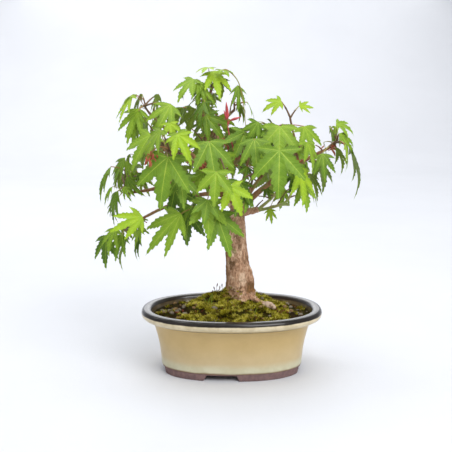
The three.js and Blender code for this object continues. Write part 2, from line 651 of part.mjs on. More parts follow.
// Seeded shoots: they fan out from the stem, one after another a golden angle further.
function addShoots(mass) {
  for (let i = 0; i < SHOOT_TRIES; i += 1) {
    const [swing, reach, rise, turn, drop, tilt, size] = Array.from({ length: 7 }, mass.next);
    const angle = radians(i * GOLDEN_ANGLE + about(SHOOT_SPANS.angle, swing));
    const wide = above(SHOOT_WIDTH, reach);
    const at = plus(mass.end, [
      mass.reach[0] * wide * Math.cos(angle),
      mass.reach[1] * wide * Math.sin(angle),
      mass.reach[2] * about(2, rise),
    ]);
    const hang = mass.hang + about(SHOOT_SPANS.hang, drop);
    const facing = outwardTurn(at) + about(SHOOT_SPANS.turn, turn);
    const frame = leafFrame(facing, hang, about(SHOOT_SPANS.lean, tilt));
    const leaf = { at, length: mass.leaf * above(SHOOT_LEAF, size), frame };
    if (mass.sprigs.length < mass.most) {
      addShoot(mass, mass.stem[mass.stem.length - 1 - (i % 3)], leaf, false);
    }
  }
}

// One closed solid per mass: twigs and leaves fused, its inner hollows filled and its loose scraps dropped.
function massSolid(mass) {
  const stem = skin(limbLoops(mass.stem, STEM_RADII, BOUGH_SIDES, 0));
  return largestPiece(wasm.Manifold.union([stem, ...mass.sprigs.map(leafSolid)]));
}

function largestPiece(whole) {
  const pieces = whole.decompose();
  return pieces.reduce((best, piece) => (piece.volume() > best.volume() ? piece : best));
}

function toMesh(name, manifold, look) {
  const mesh = manifold.getMesh();
  const geometry = new THREE.BufferGeometry();
  const positions = new Float32Array(mesh.numVert * 3);
  for (let i = 0; i < mesh.numVert; i += 1) {
    positions.set(mesh.vertProperties.subarray(i * mesh.numProp, i * mesh.numProp + 3), i * 3);
  }
  geometry.setAttribute("position", new THREE.BufferAttribute(positions, 3));
  geometry.setIndex(new THREE.BufferAttribute(new Uint32Array(mesh.triVerts), 1));
  geometry.computeVertexNormals();
  const object = new THREE.Mesh(geometry, new THREE.MeshStandardMaterial(look));
  object.name = name;
  return object;
}

// Limbs in their order: each is trimmed where it grows out of an earlier one.
function limbMeshes() {
  const names = Object.keys(LIMBS);
  return names.map((name, i) => {
    const parents = names.slice(0, i).map((earlier) => limbSolid(earlier, CLEAR));
    const trimmed = parents.reduce((rest, parent) => rest.subtract(parent), limbSolid(name));
    return toMesh(name, largestPiece(trimmed), BARK);
  });
}

const plant = new THREE.Group();
plant.name = "potted_japanese_maple";
crown.forEach(addLeads);
crown.forEach(addPairs);
crown.forEach(addShoots);
plant.add(toMesh("pot", potSolid(), GLAZE), toMesh("soil", soilSolid(), SOIL), ...limbMeshes());
crown.forEach((mass) => plant.add(toMesh(mass.name, massSolid(mass), LEAVES)));

export default plant;
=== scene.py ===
# %% [markdown]
# # A Japanese maple bonsai in its pot
# The construction is there already: pot, soil, trunk, boughs and leaf masses, each a solid at its real
# size. This lesson dresses it. The solids are loaded as a fixed frame, and each new piece takes the place
# of some of them, so nothing has to be fitted by eye afterwards.

# %% The frame
import math

import bpy
import numpy as np
from mathutils import Matrix, Vector
from numpy.linalg import norm


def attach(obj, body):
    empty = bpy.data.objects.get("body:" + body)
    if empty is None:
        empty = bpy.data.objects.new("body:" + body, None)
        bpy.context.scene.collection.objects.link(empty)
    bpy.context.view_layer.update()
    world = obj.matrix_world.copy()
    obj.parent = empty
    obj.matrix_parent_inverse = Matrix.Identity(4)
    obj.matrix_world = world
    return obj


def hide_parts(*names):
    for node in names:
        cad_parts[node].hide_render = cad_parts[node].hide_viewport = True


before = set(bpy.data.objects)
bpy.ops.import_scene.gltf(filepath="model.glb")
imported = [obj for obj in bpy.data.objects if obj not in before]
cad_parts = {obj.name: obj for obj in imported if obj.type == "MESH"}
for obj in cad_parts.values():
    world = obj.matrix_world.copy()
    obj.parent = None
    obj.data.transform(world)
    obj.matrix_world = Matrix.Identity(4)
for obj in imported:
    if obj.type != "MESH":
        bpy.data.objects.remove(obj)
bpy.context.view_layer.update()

MM = 0.001
print("solids in the frame:", len(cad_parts))

# %% [markdown]
# ## Camera
# A long lens stands 75 cm in front of the plant, a little above the middle of the crown, and looks slightly
# down into the pot. The focal length is a share of the picture's width, so it holds at any size.

# %% Camera
CAMERA_PLACE = Vector((-1.13, -750, 259))
CAMERA_PITCH = 9.7
FOCAL_SHARE = 859 / 452
SENSOR_WIDTH = 36

bpy.ops.object.camera_add(location=CAMERA_PLACE * MM, rotation=(math.radians(90 - CAMERA_PITCH), 0, 0))
camera = bpy.context.object
camera.data.sensor_width = SENSOR_WIDTH
camera.data.lens = SENSOR_WIDTH * FOCAL_SHARE
bpy.context.scene.camera = camera
print("lens in mm:", round(camera.data.lens, 1))

# %% [markdown]
# ## Studio
# The plant stands on a plain pale sweep: a floor that curves up into a wall, so that no edge shows behind
# the leaves. Its back edge is extruded along a quarter circle and then straight up. The studio is measured
# in metres.

# %% Studio
FLOOR_WIDTH = 6.0
FLOOR_FRONT = -3.0
FLOOR_BACK = 1.6
SWEEP_RADIUS = 1.2
SWEEP_STEPS = 12
WALL_HEIGHT = 3.0
EDGE_BAND = 0.01


def select_only(thing):
    bpy.ops.object.select_all(action="DESELECT")
    thing.select_set(True)
    bpy.context.view_layer.objects.active = thing


def put_in_mesh():
    """Moves the place, turn and size of the selected object into its mesh."""
    bpy.ops.object.transform_apply(location=True, rotation=True, scale=True)


def set_mode(mode):
    bpy.ops.object.mode_set(mode=mode)


def extrude(shift):
    """Extrudes what is selected in edit mode."""
    bpy.ops.mesh.extrude_region_move(TRANSFORM_OT_translate={"value": shift})


def pick(thing, kind, wanted):
    """Selects the corners, edges (by both ends) or faces in a wanted place, and goes into edit mode."""
    mesh = thing.data
    for part in (mesh.vertices, mesh.edges, mesh.polygons):
        part.foreach_set("select", [False] * len(part))
    if kind == "VERT":
        mesh.vertices.foreach_set("select", [wanted(corner.co) for corner in mesh.vertices])
    elif kind == "FACE":
        mesh.polygons.foreach_set("select", [wanted(face.center) for face in mesh.polygons])
    else:
        ends = [[mesh.vertices[i].co for i in edge.vertices] for edge in mesh.edges]
        mesh.edges.foreach_set("select", [wanted(a) and wanted(b) for a, b in ends])
    set_mode("EDIT")
    bpy.ops.mesh.select_mode(type=kind)
    bpy.context.tool_settings.mesh_select_mode = (kind == "VERT", kind == "EDGE", kind == "FACE")


bpy.ops.mesh.primitive_plane_add(size=1, location=(0, (FLOOR_FRONT + FLOOR_BACK) / 2, 0))
floor = bpy.context.object
floor.name = "studio_floor"
floor.scale = (FLOOR_WIDTH, FLOOR_BACK - FLOOR_FRONT, 1)
put_in_mesh()
pick(floor, "EDGE", lambda place: place.y > FLOOR_BACK - EDGE_BAND)
turn = math.pi / 2 / SWEEP_STEPS
for step in range(SWEEP_STEPS):
    middle = turn * (step + 0.5)
    chord = 2 * SWEEP_RADIUS * math.sin(turn / 2)
    extrude((0, chord * math.cos(middle), chord * math.sin(middle)))
extrude((0, 0, WALL_HEIGHT))
set_mode("OBJECT")
bpy.ops.object.shade_smooth()
print("floor faces:", len(floor.data.polygons))

# %% [markdown]
# ## Light
# Window light comes from the front, the right and above. A weak light from the left keeps the shadows soft,
# one from behind lets the leaves' edges stand out, and one falls on the wall. The air itself is a faint
# cool white, as in a bright room.

# %% Light
PLANT_MIDDLE = (0, 0, 0.14)
WALL_PLACE = (-0.35, 3.0, 0.95)
AIR_COLOUR = (0.95, 0.97, 1.0, 1)
AIR_STRENGTH = 0.47
# Name, place, size, power, and what the light looks at.
LIGHTS = [
    ("key_light", (0.7, -1.2, 1.3), 1.2, 25.5, PLANT_MIDDLE),
    ("fill_light", (-1.1, -1.0, 0.9), 1.2, 1.5, PLANT_MIDDLE),
    ("top_light", (-0.1, 0.1, 1.6), 1.2, 11.5, PLANT_MIDDLE),
    ("rim_light", (0, 2.3, 1.25), 1.6, 12, PLANT_MIDDLE),
    ("backdrop_light", (-1.1, 0.9, 2.2), 2.0, 36, WALL_PLACE),
]

for name, place, size, power, aim in LIGHTS:
    way = Vector(aim) - Vector(place)
    bpy.ops.object.light_add(type="AREA", location=place, rotation=way.to_track_quat("-Z", "Y").to_euler())
    light = bpy.context.object
    light.name = name
    light.data.size = size
    light.data.energy = power
world = bpy.data.worlds.new("studio_air")
bpy.context.scene.world = world
world.use_nodes = True
world.node_tree.nodes["Background"].inputs["Color"].default_value = AIR_COLOUR
world.node_tree.nodes["Background"].inputs["Strength"].default_value = AIR_STRENGTH
bpy.context.scene.view_settings.view_transform = "Standard"
print("lights:", len(LIGHTS))

# %% [markdown]
# ## Shared effects for the materials
# Nearly all surfaces of this plant are mottled, with two colours in soft patches, and nearly all have a
# fine relief. Both are made once as node groups, and each material gives them its own values. They read
# object coordinates, so a pattern stays with its piece from every side. All of it is nodes whose sockets
# get a plain value or another node's output, so helpers for that come first.

# %% Colour and node helpers
def paint(red, green, blue):
    """Display colour from 0 to 255, turned into the linear values that the shader works with."""
    def linear(value):
        share = value / 255
        return share / 12.92 if share <= 0.04045 else ((share + 0.055) / 1.055) ** 2.4
    return (linear(red), linear(green), linear(blue), 1)


def fill(tree, sockets, values):
    """Gives the named sockets plain values or other nodes' outputs."""
    for name, value in values.items():
        if isinstance(value, bpy.types.NodeSocket):
            tree.links.new(value, sockets[name])
        else:
            sockets[name].default_value = value


def add_node(tree, kind, values):
    node = tree.nodes.new(kind)
    fill(tree, node.inputs, values)
    return node


def add_effect(tree, effect, values):
    """A shared node group placed in a tree, as its outputs."""
    node = tree.nodes.new("ShaderNodeGroup")
    node.node_tree = effect
    fill(tree, node.inputs, values)
    return node.outputs


def calculate(tree, operation, *values):
    """The result of a Math node."""
    node = tree.nodes.new("ShaderNodeMath")
    node.operation = operation
    fill(tree, node.inputs, dict(enumerate(values)))
    return node.outputs[0]


def smooth_step(tree, value, low, high):
    """0 as far as low, 1 from high on, and a soft change between them."""
    node = add_node(tree, "ShaderNodeMapRange", {"Value": value, "From Min": low, "From Max": high})
    node.interpolation_type = "SMOOTHSTEP"
    return node.outputs["Result"]


def mix_colours(tree, mask, first, second):
    """The first colour where a mask is 0 and the second where it is 1."""
    node = tree.nodes.new("ShaderNodeMix")
    node.data_type = "RGBA"
    inputs = {socket.identifier: socket for socket in node.inputs}
    fill(tree, inputs, {"Factor_Float": mask, "A_Color": first, "B_Color": second})
    return next(socket for socket in node.outputs if socket.identifier == "Result_Color")


def new_group(name, inputs, outputs):
    """An empty node group, with the sockets that its nodes read and the ones that they fill."""
    group = bpy.data.node_groups.new(name, "ShaderNodeTree")
    for label, kind, value in inputs:
        socket = group.interface.new_socket(name=label, in_out="INPUT", socket_type=kind)
        if value is not None:
            socket.default_value = value
    for label, kind in outputs:
        group.interface.new_socket(name=label, in_out="OUTPUT", socket_type=kind)
    return group, group.nodes.new("NodeGroupInput").outputs, group.nodes.new("NodeGroupOutput").inputs


# %% Node groups
FINE_SCALE = 4.3


def make_mottle():
    """Two colours in soft patches. Spread is how far the patches reach into each other."""
    group, given, result = new_group(
        "mottle",
        [("Vector", "NodeSocketVector", None), ("Scale", "NodeSocketFloat", 200.0),
         ("Middle", "NodeSocketFloat", 0.5), ("Spread", "NodeSocketFloat", 0.15),
         ("First", "NodeSocketColor", (0.2, 0.2, 0.2, 1)), ("Second", "NodeSocketColor", (0.8, 0.8, 0.8, 1))],
        [("Color", "NodeSocketColor")])
    cloud = add_node(group, "ShaderNodeTexNoise", {"Vector": given["Vector"], "Scale": given["Scale"],
                                                   "Detail": 5, "Roughness": 0.6})
    low = calculate(group, "SUBTRACT", given["Middle"], given["Spread"])
    high = calculate(group, "ADD", given["Middle"], given["Spread"])
    mask = smooth_step(group, cloud.outputs["Fac"], low, high)
    fill(group, result, {"Color": mix_colours(group, mask, given["First"], given["Second"])})
    return group


def make_relief():
    """Fine relief from a coarse and a fine cloud. Share is how much the fine one counts."""
    group, given, result = new_group(
        "fine_relief",
        [("Vector", "NodeSocketVector", None), ("Scale", "NodeSocketFloat", 400.0),
         ("Share", "NodeSocketFloat", 0.4)],
        [("Height", "NodeSocketFloat")])
    fine_scale = calculate(group, "MULTIPLY", given["Scale"], FINE_SCALE)
    coarse = add_node(group, "ShaderNodeTexNoise",
                      {"Vector": given["Vector"], "Scale": given["Scale"], "Detail": 4})
    fine = add_node(group, "ShaderNodeTexNoise",
                    {"Vector": given["Vector"], "Scale": fine_scale, "Detail": 3})
    blend = add_node(group, "ShaderNodeMix", {"Factor": given["Share"], "A": coarse.outputs["Fac"],
                                              "B": fine.outputs["Fac"]})
    fill(group, result, {"Height": blend.outputs["Result"]})
    return group


MOTTLE = make_mottle()
RELIEF = make_relief()
print("node groups:", MOTTLE.name, RELIEF.name)

# %% A material being made
FURROW_DEPTH = 0.3


class Finish:
    """A material with its Principled shader and the shared effects. Sizes are in mm."""

    def __init__(self, name, roughness):
        self.material = bpy.data.materials.new(name)
        self.material.use_nodes = True
        self.tree = self.material.node_tree
        self.shader = self.tree.nodes["Principled BSDF"].inputs
        self.shader["Roughness"].default_value = roughness
        self.place = self.tree.nodes.new("ShaderNodeTexCoord").outputs["Object"]

    def shade(self, values):
        """Gives more of the shader's sockets their values."""
        fill(self.tree, self.shader, values)

    def stretched(self, x, y, z):
        """Object coordinates times these factors: a small one draws a pattern out along its axis."""
        mapping = add_node(self.tree, "ShaderNodeMapping", {"Vector": self.place, "Scale": (x, y, z)})
        return mapping.outputs["Vector"]

    def mottle(self, first, second, scale, middle=0.5, spread=0.15, vector=None):
        """Patches of two colours, each a plain colour or another patchwork's output."""
        return add_effect(self.tree, MOTTLE, {
            "Vector": vector or self.place, "Scale": scale, "Middle": middle, "Spread": spread,
            "First": first, "Second": second})["Color"]

    def blend(self, first, second, mask):
        return mix_colours(self.tree, mask, first, second)

    def border(self, low, high, waver, scale, axis="Z"):
        """0 below and 1 above a wavering border between two places along an axis."""
        split = add_node(self.tree, "ShaderNodeSeparateXYZ", {"Vector": self.place})
        cloud = add_node(self.tree, "ShaderNodeTexNoise", {"Vector": self.place, "Scale": scale})
        place = calculate(self.tree, "MULTIPLY_ADD", cloud.outputs["Fac"], waver * MM, split.outputs[axis])
        return smooth_step(self.tree, place, low * MM, high * MM)

    def colour(self, output):
        self.shade({"Base Color": output})

    def bump(self, scale, depth, share=0.4, vector=None, lines=None):
        """Fine relief of this depth, with lines sunk into it."""
        relief = add_effect(self.tree, RELIEF,
                            {"Vector": vector or self.place, "Scale": scale, "Share": share})
        bump = add_node(self.tree, "ShaderNodeBump", {"Height": relief["Height"], "Distance": depth * MM})
        if lines is not None:
            furrow = add_node(self.tree, "ShaderNodeBump", {"Height": lines, "Distance": FURROW_DEPTH * MM})
            furrow.invert = True
            fill(self.tree, bump.inputs, {"Normal": furrow.outputs["Normal"]})
        self.shade({"Normal": bump.outputs["Normal"]})

    def plain(self, first, second, scale, spread, grain, depth):
        """The whole material, where it is one patchwork over fine relief."""
        self.colour(self.mottle(first, second, scale, spread=spread))
        self.bump(grain, depth)
        return self.material


# %% The studio's paper
studio_paper = Finish("studio_paper", 0.9)
studio_paper.plain(paint(211, 213, 218), paint(214, 216, 221), 3.0, 0.15, 300, 0.2)
floor.data.materials.append(studio_paper.material)
print("finish of the floor:", studio_paper.material.name)

# %% [markdown]
# ## The limbs, by their sizes
# The boughs of the frame are known by their radii from foot to tip and by the points that they run through,
# in millimetres. They are repeated here, because the bark, the twigs and the leaves all start from these
# lines.

# %% Limbs
TRUNK_BASE = 59
LIMBS = {
    "trunk": ([13.6, 12.9, 11.2, 10.1, 9.6, 8.9, 7.6, 6.2],
              [(11.5, 15, TRUNK_BASE), (11.3, 15, 68), (10.2, 14, 84), (8.8, 13, 100), (8, 12, 112),
               (7.8, 11, 124), (8.3, 10, 136), (9, 9.5, 145)]),
    "trunk_upper": ([5.4, 5, 4.5, 4, 3.5, 3],
                    [(9, 9.5, 145), (-1, 9, 157), (-11, 9, 164), (-17.5, 9, 172), (-21.5, 9, 183),
                     (-25, 9, 191)]),
    "leader": ([2.6, 1.3], [(-25, 9, 191), (-20, 8, 203), (-17.5, 8, 213), (-21, 8, 225), (-25, 8, 235)]),
    "top_right_bough": ([1.7, 1], [(-19.5, 8, 206), (-5, 12, 221), (4, 13, 230)]),
    "right_stub": ([3.6, 2.7], [(9, 9, 140), (19, 6, 143), (27, 3, 145)]),
    "right_shoot": ([1.5, 1.1], [(27, 3, 145), (39, -6, 157), (52, -17, 176)]),
    "right_low_shoot": ([1.5, 1.1], [(26, 3, 144), (41, 0, 148), (52, -2, 153), (57, -3, 162)]),
    "far_right_bough": ([3, 1.3], [(9, 11, 142), (34, 22, 163), (64, 12, 185), (90, 5, 200)]),
    "upper_right_twig": ([1.3, 0.9], [(63, 12, 184), (61, 9, 200), (56, 7, 221)]),
    "mid_right_bough": ([2.2, 1.2], [(-14, 9, 167), (8, 2, 188), (30, -6, 212)]),
    "left_bough": ([2.7, 1.1], [(-14, 9, 167), (-40, 8, 170), (-66, 5, 163), (-86, 3, 160)]),
    "low_left_bough": ([2.2, 1.1], [(-4, 9, 159), (-26, -6, 159), (-54, -16, 150), (-80, -18, 137)]),
    "upper_left_bough": ([2.2, 1.1], [(-22, 9, 184), (-44, 8, 206), (-66, 5, 228)]),
    "front_left_bough": ([2, 1.1], [(-19, 9, 176), (-30, -16, 190), (-40, -34, 198)]),
    "front_bough": ([1.9, 1.1], [(-9, 9, 163), (-8, -16, 178), (-4, -34, 190)]),
    "low_front_shoot": ([1.6, 1], [(2, 9, 154), (-8, -12, 153), (-20, -26, 152)]),
    "front_right_bough": ([2, 1.1], [(9, 9, 136), (16, -14, 154), (20, -34, 172)]),
    "inner_right_bough": ([2.4, 1.2], [(9, 10, 143), (15, 20, 170), (20, 26, 192)]),
    "back_right_bough": ([2.6, 1.2], [(8, 10, 138), (24, 40, 160), (38, 60, 176)]),
    "back_bough": ([2.3, 1.2], [(-16, 9, 170), (-10, 36, 194), (-8, 54, 210)]),
    "back_left_bough": ([2.3, 1.2], [(-21, 9, 181), (-44, 36, 190), (-60, 52, 194)]),
}
PATH_STEP = 13
CURVE_PARTS = 200
LEAST_GAP = 1e-4


def knot_gap(a, b):
    return max(float(np.dot(b - a, b - a)) ** 0.25, LEAST_GAP)


def curve_point(points, share):
    """Point at a share of a smooth curve that runs through all the points."""
    place = (len(points) - 1) * share
    span = min(int(place), len(points) - 2)
    t = place - span
    before = points[span - 1] if span > 0 else 2 * points[0] - points[1]
    start, end = points[span], points[span + 1]
    after = points[span + 2] if span + 2 < len(points) else 2 * points[-1] - points[-2]
    gaps = knot_gap(before, start), knot_gap(start, end), knot_gap(end, after)
    leave = (start - before) / gaps[0] - (end - before) / (gaps[0] + gaps[1]) + (end - start) / gaps[1]
    arrive = (end - start) / gaps[1] - (after - start) / (gaps[1] + gaps[2]) + (after - end) / gaps[2]
    leave, arrive = leave * gaps[1], arrive * gaps[1]
    square = -3 * start + 3 * end - 2 * leave - arrive
    cube = 2 * start - 2 * end + leave + arrive
    return start + leave * t + square * t * t + cube * t * t * t


def smooth_path(points, step):
    """Smooth path through the points, sampled evenly at about this step."""
    points = np.array(points, float)
    fine = [curve_point(points, i / CURVE_PARTS) for i in range(CURVE_PARTS + 1)]
    length = sum(norm(b - a) for a, b in zip(fine, fine[1:]))
    count = max(2, math.floor(length / step + 0.5))
    return np.array([curve_point(points, i / count) for i in range(count + 1)])


def radius_at(radii, share):
    place = share * (len(radii) - 1)
    row = min(int(place), len(radii) - 2)
    return radii[row] + (radii[row + 1] - radii[row]) * (place - row)


print("limbs:", len(LIMBS), "trunk path:", len(smooth_path(LIMBS["trunk"][1], PATH_STEP)), "points")

# %% [markdown]
# ## The leaf masses, by their sizes
# Each mass of leaves goes on from the tip of its limb along a stem. Its leads are the leaves that shape the
# outline. Each has a letter for its tint, because the youngest leaves, a clear lime, stand in known places.
# How wide the lobes are spread is a value of the mass too: on the outer shoots the leaves hang half folded.

# %% Leaf masses
# Name, limb, seed, end of the stem, reach of the shoots, most leaves of the solids, length of a leaf, how far
# the leaves hang, tints of the leads, how many finer leaves may be added, spread of the lobes, and the leads:
# position, the side that the leaf faces, its lean and its length.
COLUMNS = "name limb seed end reach most leaf hang tints finer spread_out leads".split()
MASSES = [
    ("foliage_apex", "leader", 3, (-15, 5, 246), (22, 24, 10), 8, 29, 44, "lfl", 5, 0.85,
     [(-12, 0, 266, -80, 6, 30), (-29, -4, 259, -120, -18, 26), (-7, 14, 260, 70, 6, 22)]),
    ("foliage_top_right", "top_right_bough", 61, (6, 10, 238), (14, 22, 10), 5, 27, 66, "f", 1, 0.7,
     [(9, -2, 252, 10, 0, 34)]),
    ("foliage_upper_left", "upper_left_bough", 5, (-72, 3, 236), (24, 30, 10), 7, 32, 62, "fff", 1, 0.7,
     [(-76, -4, 234, -110, -12, 34), (-75, 14, 246, 170, 15, 25), (-48, -12, 238, -80, -30, 33)]),
    ("foliage_left", "left_bough", 7, (-90, 2, 166), (16, 32, 16), 8, 30, 72, "dmm", 9, 0.5,
     [(-98, 0, 160, -150, 5, 29), (-89, -6, 192, -130, -20, 28), (-86, 28, 178, 150, 0, 29)]),
    ("foliage_low_left", "low_left_bough", 11, (-88, -16, 132), (16, 24, 12), 7, 29, 66, "dml", 3, 0.7,
     [(-105, -12, 125, -125, 10, 31), (-90, -26, 128, -110, -10, 25), (-70, -50, 147, -80, -68, 31)]),
    ("foliage_front_left", "front_left_bough", 13, (-50, -48, 201), (26, 18, 18), 7, 33, 68, "md", 4, 0.95,
     [(-48, -58, 197, -95, -8, 44), (-44, -36, 168, -80, 25, 32)]),
    ("foliage_front", "front_bough", 17, (-8, -48, 200), (24, 18, 20), 7, 32, 66, "mml", 5, 0.95,
     [(-15, -48, 209, -85, 8, 38), (-16, -64, 163, -85, -10, 22), (2, -64, 174, -80, 20, 27)]),
    ("foliage_low_front", "low_front_shoot", 19, (-26, -40, 152), (26, 16, 8), 5, 30, 68, "fm", 4, 0.95,
     [(-38, -52, 149, -100, -34, 44), (-9, -48, 148, -80, 18, 38)]),
    ("foliage_front_right", "front_right_bough", 23, (22, -48, 186), (20, 16, 20), 6, 29, 68, "mf", 4, 0.9,
     [(22, -44, 211, -80, 2, 32), (30, -50, 174, -85, 0, 22)]),
    ("foliage_right", "right_shoot", 29, (52, -40, 196), (24, 18, 16), 6, 32, 68, "mf", 3, 0.95,
     [(44, -54, 197, -88, 0, 44), (62, -28, 172, -60, 10, 26)]),
    ("foliage_right_low", "right_low_shoot", 31, (60, 0, 176), (20, 24, 12), 5, 27, 66, "fm", 0, 0.7,
     [(50, 16, 162, -70, -14, 20), (74, 12, 176, 30, 0, 28)]),
    ("foliage_mid_right", "mid_right_bough", 37, (38, -12, 219), (26, 28, 8), 7, 32, 62, "ff", 5, 0.9,
     [(44, -26, 220, -85, -4, 38), (66, -8, 219, -60, 8, 30)]),
    ("foliage_far_right", "far_right_bough", 41, (96, 2, 206), (14, 32, 12), 8, 30, 68, "fmm", 3, 0.65,
     [(96, -10, 213, -50, 34, 28), (107, 4, 201, 0, 0, 46), (82, -10, 196, -90, 5, 26)]),
    ("foliage_upper_right", "upper_right_twig", 43, (55, 7, 226), (10, 10, 6), 2, 22, 50, "ll", 0, 0.8,
     [(47, 4, 240, -110, -62, 20), (63, 8, 236, -70, 84, 15)]),
    ("foliage_inner_right", "inner_right_bough", 67, (22, 28, 198), (32, 18, 14), 7, 31, 48, "dd", 8, 0.9,
     [(38, 26, 206, 20, 0, 30), (8, 36, 214, 80, 0, 27)]),
    ("foliage_back_right", "back_right_bough", 47, (44, 60, 188), (38, 20, 20), 9, 33, 64, "mm", 3, 0.9,
     [(84, 48, 184, 35, 0, 32), (40, 66, 172, 75, 0, 32)]),
    ("foliage_back", "back_bough", 53, (-10, 56, 208), (32, 22, 20), 9, 33, 58, "mf", 7, 0.9,
     [(-6, 65, 206, 95, 0, 31), (-28, 42, 232, 120, 10, 30)]),
    ("foliage_back_left", "back_left_bough", 59, (-64, 56, 202), (28, 20, 24), 8, 33, 64, "md", 5, 0.75,
     [(-86, 52, 180, 150, 0, 32), (-44, 66, 178, 110, 0, 32)]),
]

# %% [markdown]
# ## The growth rule
# Every mass grows by one seeded rule: a shoot runs from the stem to a last leaf, with pairs of leaves on
# its way, and a leaf that would touch a limb, another mass or another leaf is skipped. The same rule made
# the solids, so each of their leaves comes back at its place. Then it is run on with smaller leaves that
# may stand closer, and they fill the crown behind the large leaves of the front. Leaves scattered at random
# would be simpler, but would look like a cloud: real ones hang in pairs from nodes and turn their faces to
# the light.

# %% Growth rule: numbers and lines
SEED_SPREAD = 7919
SEED_START = 12345
NUMBER_FACTOR = 1664525
NUMBER_STEP = 1013904223
NUMBER_RANGE = 4294967296


def numbers(seed):
    """Endless row of even numbers from 0 to 1, the same in any language, because the solids use it too."""
    state = seed * SEED_SPREAD + SEED_START
    while True:
        state = (state * NUMBER_FACTOR + NUMBER_STEP) % NUMBER_RANGE
        yield state / NUMBER_RANGE


def above(least_and_span, number):
    return least_and_span[0] + least_and_span[1] * number


def about(span, number):
    return (number - 0.5) * span


def arch(start, end, rise, count):
    """Arched line from start to end."""
    middle = (start + end) / 2 + np.array([0, 0, rise])
    steps = [i / count for i in range(count + 1)]
    return np.array([(1 - t) * (1 - t) * start + 2 * t * (1 - t) * middle + t * t * end for t in steps])


def spread(line, step):
    """Points spaced along a line, for the spacing tests."""
    points = []
    for a, b in zip(line, line[1:]):
        parts = max(1, math.ceil(norm(b - a) / step))
        points += [a + (b - a) * (k / parts) for k in range(1, parts + 1)]
    return np.array(points)


# %% Growth rule: the leaf's frame and size
LOBES = [(-98, 0.47), (-43, 0.82), (0, 1), (43, 0.82), (98, 0.47)]
SHOULDER_AT = 0.5
SHOULDER_HALF_WIDTH = 0.165
LEAF_DROOP = 0.15
SAMPLE_STEP = 6


def leaf_frame(turn, hang, lean):
    """Axis, side and face of a leaf that faces `turn`, hangs down by `hang` and leans sideways by `lean`."""
    t, h, l = math.radians(turn), math.radians(hang), math.radians(lean)
    out = np.array([math.cos(t), math.sin(t), 0])
    level = np.array([-math.sin(t), math.cos(t), 0])
    up = np.array([0, 0, 1])
    down = out * math.cos(h) - up * math.sin(h)
    face = out * math.sin(h) + up * math.cos(h)
    axis = down * math.cos(l) + level * math.sin(l)
    return axis, np.cross(face, axis), face


def new_leaf(at, length, turn, hang, lean):
    axis, side, face = leaf_frame(turn, hang, lean)
    return {"at": np.array(at, float), "length": length, "axis": axis, "side": side, "face": face}


def leaf_samples(leaf):
    """Points on the lobes' axes and shoulders, for the spacing tests."""
    shares, angles = [0], [0]
    swing = math.atan2(SHOULDER_HALF_WIDTH, SHOULDER_AT)
    shoulder = math.hypot(SHOULDER_AT, SHOULDER_HALF_WIDTH)
    for degrees, length in LOBES:
        angle = math.radians(degrees)
        parts = math.ceil(length * leaf["length"] / SAMPLE_STEP)
        shares += [length * k / parts for k in range(1, parts + 1)] + [length * shoulder] * 2
        angles += [angle] * parts + [angle - swing, angle + swing]
    shares, angles = np.array(shares)[:, None] * leaf["length"], np.array(angles)[:, None]
    drop = LEAF_DROOP * shares * shares / leaf["length"]
    flat = shares * np.cos(angles) * leaf["axis"] + shares * np.sin(angles) * leaf["side"]
    return leaf["at"] + flat - drop * leaf["face"]


# %% Growth rule: room in the crown
CROWN_AXIS = (-3, 6)
CROWN_LOW = np.array([-119.5, -81, 84])
CROWN_HIGH = np.array([118.5, 80, 270])
LIMB_TEST_STEP = 3
FINE_FRONT = -52
COARSE = {"mass_gap": 5, "limb_gap": 2.4, "leaf_gap": 3.4, "leaf_size": 1, "pair_step": 16, "most_pairs": 2}
FINE = {"mass_gap": 2.2, "limb_gap": 1.0, "leaf_gap": 2.2, "leaf_size": 0.72, "pair_step": 9, "most_pairs": 4}

limb_points, limb_radii = [], []
for radii, points in LIMBS.values():
    path = smooth_path(points, LIMB_TEST_STEP)
    limb_points += list(path)
    limb_radii += [radius_at(radii, i / (len(path) - 1)) for i in range(len(path))]
limb_points, limb_radii = np.array(limb_points), np.array(limb_radii)


def apart(points, others, gap):
    """True where every point is further than a gap from all others. Each other may have a gap of its own."""
    if len(others) == 0:
        return True
    widest = np.max(gap)
    near = ((others > points.min(0) - widest) & (others < points.max(0) + widest)).all(1)
    if not near.any():
        return True
    others = others[near]
    gap = gap[near] if isinstance(gap, np.ndarray) else gap
    return bool((norm(points[:, None] - others[None], axis=2) > gap).all())


def fits(mass, line, blade, rule):
    """True where a leaf and its twig are clear of limbs, other masses and the mass's other leaves."""
    points = np.vstack([line, blade]) if len(line) else blade
    if not ((points > CROWN_LOW) & (points < CROWN_HIGH)).all():
        return False
    if rule is FINE and (points[:, 1].min() < FINE_FRONT or len(mass["sprigs"]) >= mass["most"]):
        return False
    if not apart(points, limb_points, limb_radii + rule["limb_gap"]):
        return False
    if mass["blades"] and not apart(blade, np.vstack(mass["blades"]), rule["leaf_gap"]):
        return False
    others = [part for other in crown if other is not mass for part in other["lines"] + other["blades"]]
    return apart(points, np.vstack(others), rule["mass_gap"])


# %% Growth rule: twigs, pairs and shoots
STALK_ARCH = 0.12
TWIG_ARCH = 0.14
SHOOT_TRIES = 40
TWIG_PARTS = 4
STALK_PARTS = 2
STEM_PARTS = 3
GOLDEN_ANGLE = 137.5
CLEAR = 0.3
STEM_STRAIGHT = 3
LEAD_FEET = 2
SHOOT_FEET = 3
PAIR_LEAF = (0.72, 0.36)
SHOOT_LEAF = (0.75, 0.4)
STALK_LENGTH = (0.3, 0.35)
SHOOT_WIDTH = (0.45, 0.55)
PAIR_SPANS = {"turn": 70, "hang": 36, "lean": 60}
SHOOT_SPANS = {"angle": 60, "turn": 70, "hang": 30, "lean": 70}
PAIR_TURN = 35
PAIR_LEAN = 20
STALK_RISE = 0.3


